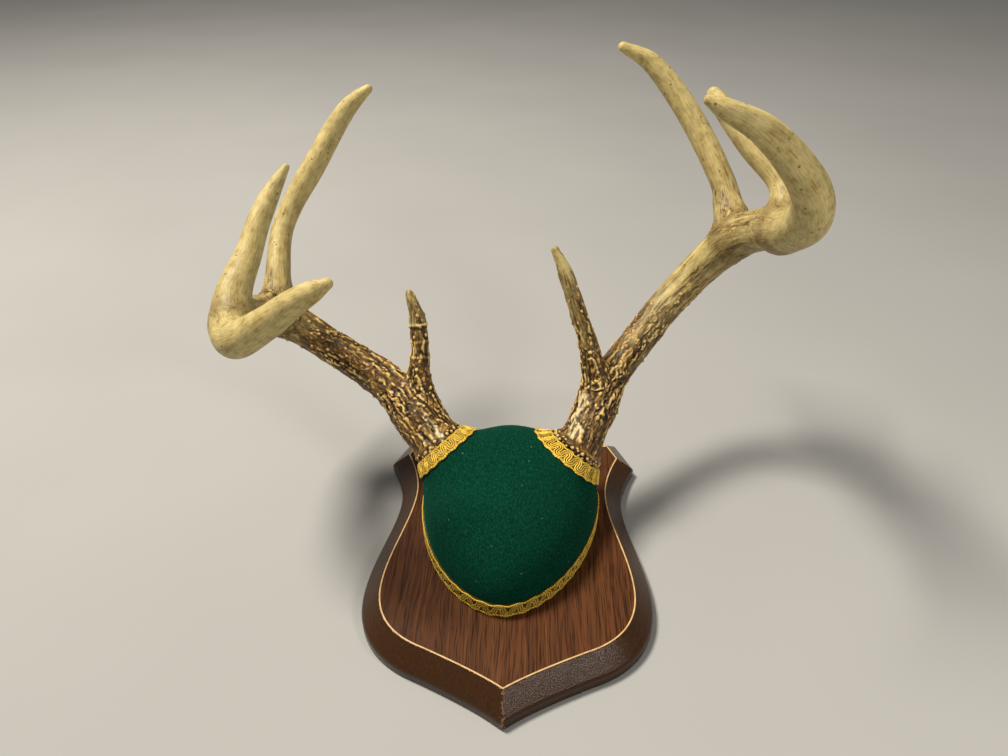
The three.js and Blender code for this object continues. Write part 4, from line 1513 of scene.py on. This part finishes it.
class ANTLERMOUNT_OT_stage(bpy.types.Operator):
    """Set the plain floor, the soft lights and the camera"""

    bl_idname = "antlermount.stage"
    bl_label = "Stage"

    def execute(self, context):
        settings = context.scene.antlermount_stage
        corners = [(x, y, FLOOR_DEPTH) for x, y in FLOOR_HALF * np.array([(-1, -1), (1, -1), (1, 1), (-1, 1)])]
        floor = make_mesh("floor", corners, [np.array([[0, 1, 2, 3]])])
        material, tree, shader = new_material("matt_floor", {"Roughness": 0.9})
        place = add(tree, "ShaderNodeTexCoord").outputs["Object"]
        tone = add(tree, "ShaderNodeTexNoise", {"Scale": 3.0}, Vector=place)
        colour = add(tree, "ShaderNodeValToRGB",
                     {"stops": tones(settings.floor_colour, (0.3, 0.97), (0.7, 1.03))},
                     Fac=tone.outputs["Fac"])
        tree.links.new(colour.outputs["Color"], shader.inputs["Base Color"])
        floor.data.materials.append(material)
        area_light("key_light", settings.key_power, **KEY_LIGHT)
        area_light("fill_light", settings.fill_power, **FILL_LIGHT)
        world = bpy.data.worlds.new("room")
        world.use_nodes = True
        background = world.node_tree.nodes["Background"]
        background.inputs["Color"].default_value = linear(0xF4F2F0)
        background.inputs["Strength"].default_value = settings.world_light
        context.scene.world = world
        # the camera's right, up and back for its heading and pitch, then rolled about back
        sine, cosine = np.sin(CAMERA_PITCH), np.cos(CAMERA_PITCH)
        east, north = np.sin(CAMERA_HEADING), np.cos(CAMERA_HEADING)
        right = np.array([north, -east, 0])
        up = np.array([east * sine, north * sine, cosine])
        back = -np.array([east * cosine, north * cosine, -sine])
        c, s = np.cos(CAMERA_ROLL), np.sin(CAMERA_ROLL)
        turned = np.eye(4)
        turned[:3, 0] = c * right - s * up
        turned[:3, 1] = s * right + c * up
        turned[:3, 2] = back
        turned[:3, 3] = CAMERA_PLACE
        data = bpy.data.cameras.new("camera")
        data.lens = LENS
        data.sensor_width = 36.0
        data.clip_start = 0.01
        camera = bpy.data.objects.new("camera", data)
        camera.matrix_world = Matrix(turned.tolist())
        context.scene.collection.objects.link(camera)
        context.scene.camera = camera
        context.scene.view_settings.view_transform = "Standard"
        return {"FINISHED"}


# ---------------------------------------------------------------- add-on

SETTINGS = {
    "antlermount_plaque": PlaqueSettings,
    "antlermount_cap": CapSettings,
    "antlermount_braid": BraidSettings,
    "antlermount_antlers": AntlerSettings,
    "antlermount_stage": StageSettings,
}
OPERATORS = [
    ANTLERMOUNT_OT_plaque,
    ANTLERMOUNT_OT_cap,
    ANTLERMOUNT_OT_base_braid,
    ANTLERMOUNT_OT_collars,
    ANTLERMOUNT_OT_antlers,
    ANTLERMOUNT_OT_stage,
]


class ANTLERMOUNT_PT_panel(bpy.types.Panel):
    """Lists the mount's pieces and their settings"""

    bl_idname = "ANTLERMOUNT_PT_panel"
    bl_label = "Antler Mount"
    bl_space_type = "VIEW_3D"
    bl_region_type = "UI"
    bl_category = "Antler Mount"

    def draw(self, context):
        for operator in OPERATORS:
            self.layout.operator(operator.bl_idname)
        for name, group in SETTINGS.items():
            box = self.layout.box()
            for key in group.__annotations__:
                box.prop(getattr(context.scene, name), key)


def register():
    for group in SETTINGS.values():
        bpy.utils.register_class(group)
    for name, group in SETTINGS.items():
        setattr(bpy.types.Scene, name, bpy.props.PointerProperty(type=group))
    for operator in OPERATORS:
        bpy.utils.register_class(operator)
    bpy.utils.register_class(ANTLERMOUNT_PT_panel)


def unregister():
    bpy.utils.unregister_class(ANTLERMOUNT_PT_panel)
    for operator in reversed(OPERATORS):
        bpy.utils.unregister_class(operator)
    for name, group in SETTINGS.items():
        delattr(bpy.types.Scene, name)
        bpy.utils.unregister_class(group)


def main():
    register()
    bpy.ops.antlermount.plaque()
    bpy.ops.antlermount.cap()
    bpy.ops.antlermount.base_braid()
    bpy.ops.antlermount.collars()
    bpy.ops.antlermount.antlers()
    bpy.ops.antlermount.stage()
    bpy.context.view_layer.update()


if __name__ == "__main__":
    main()
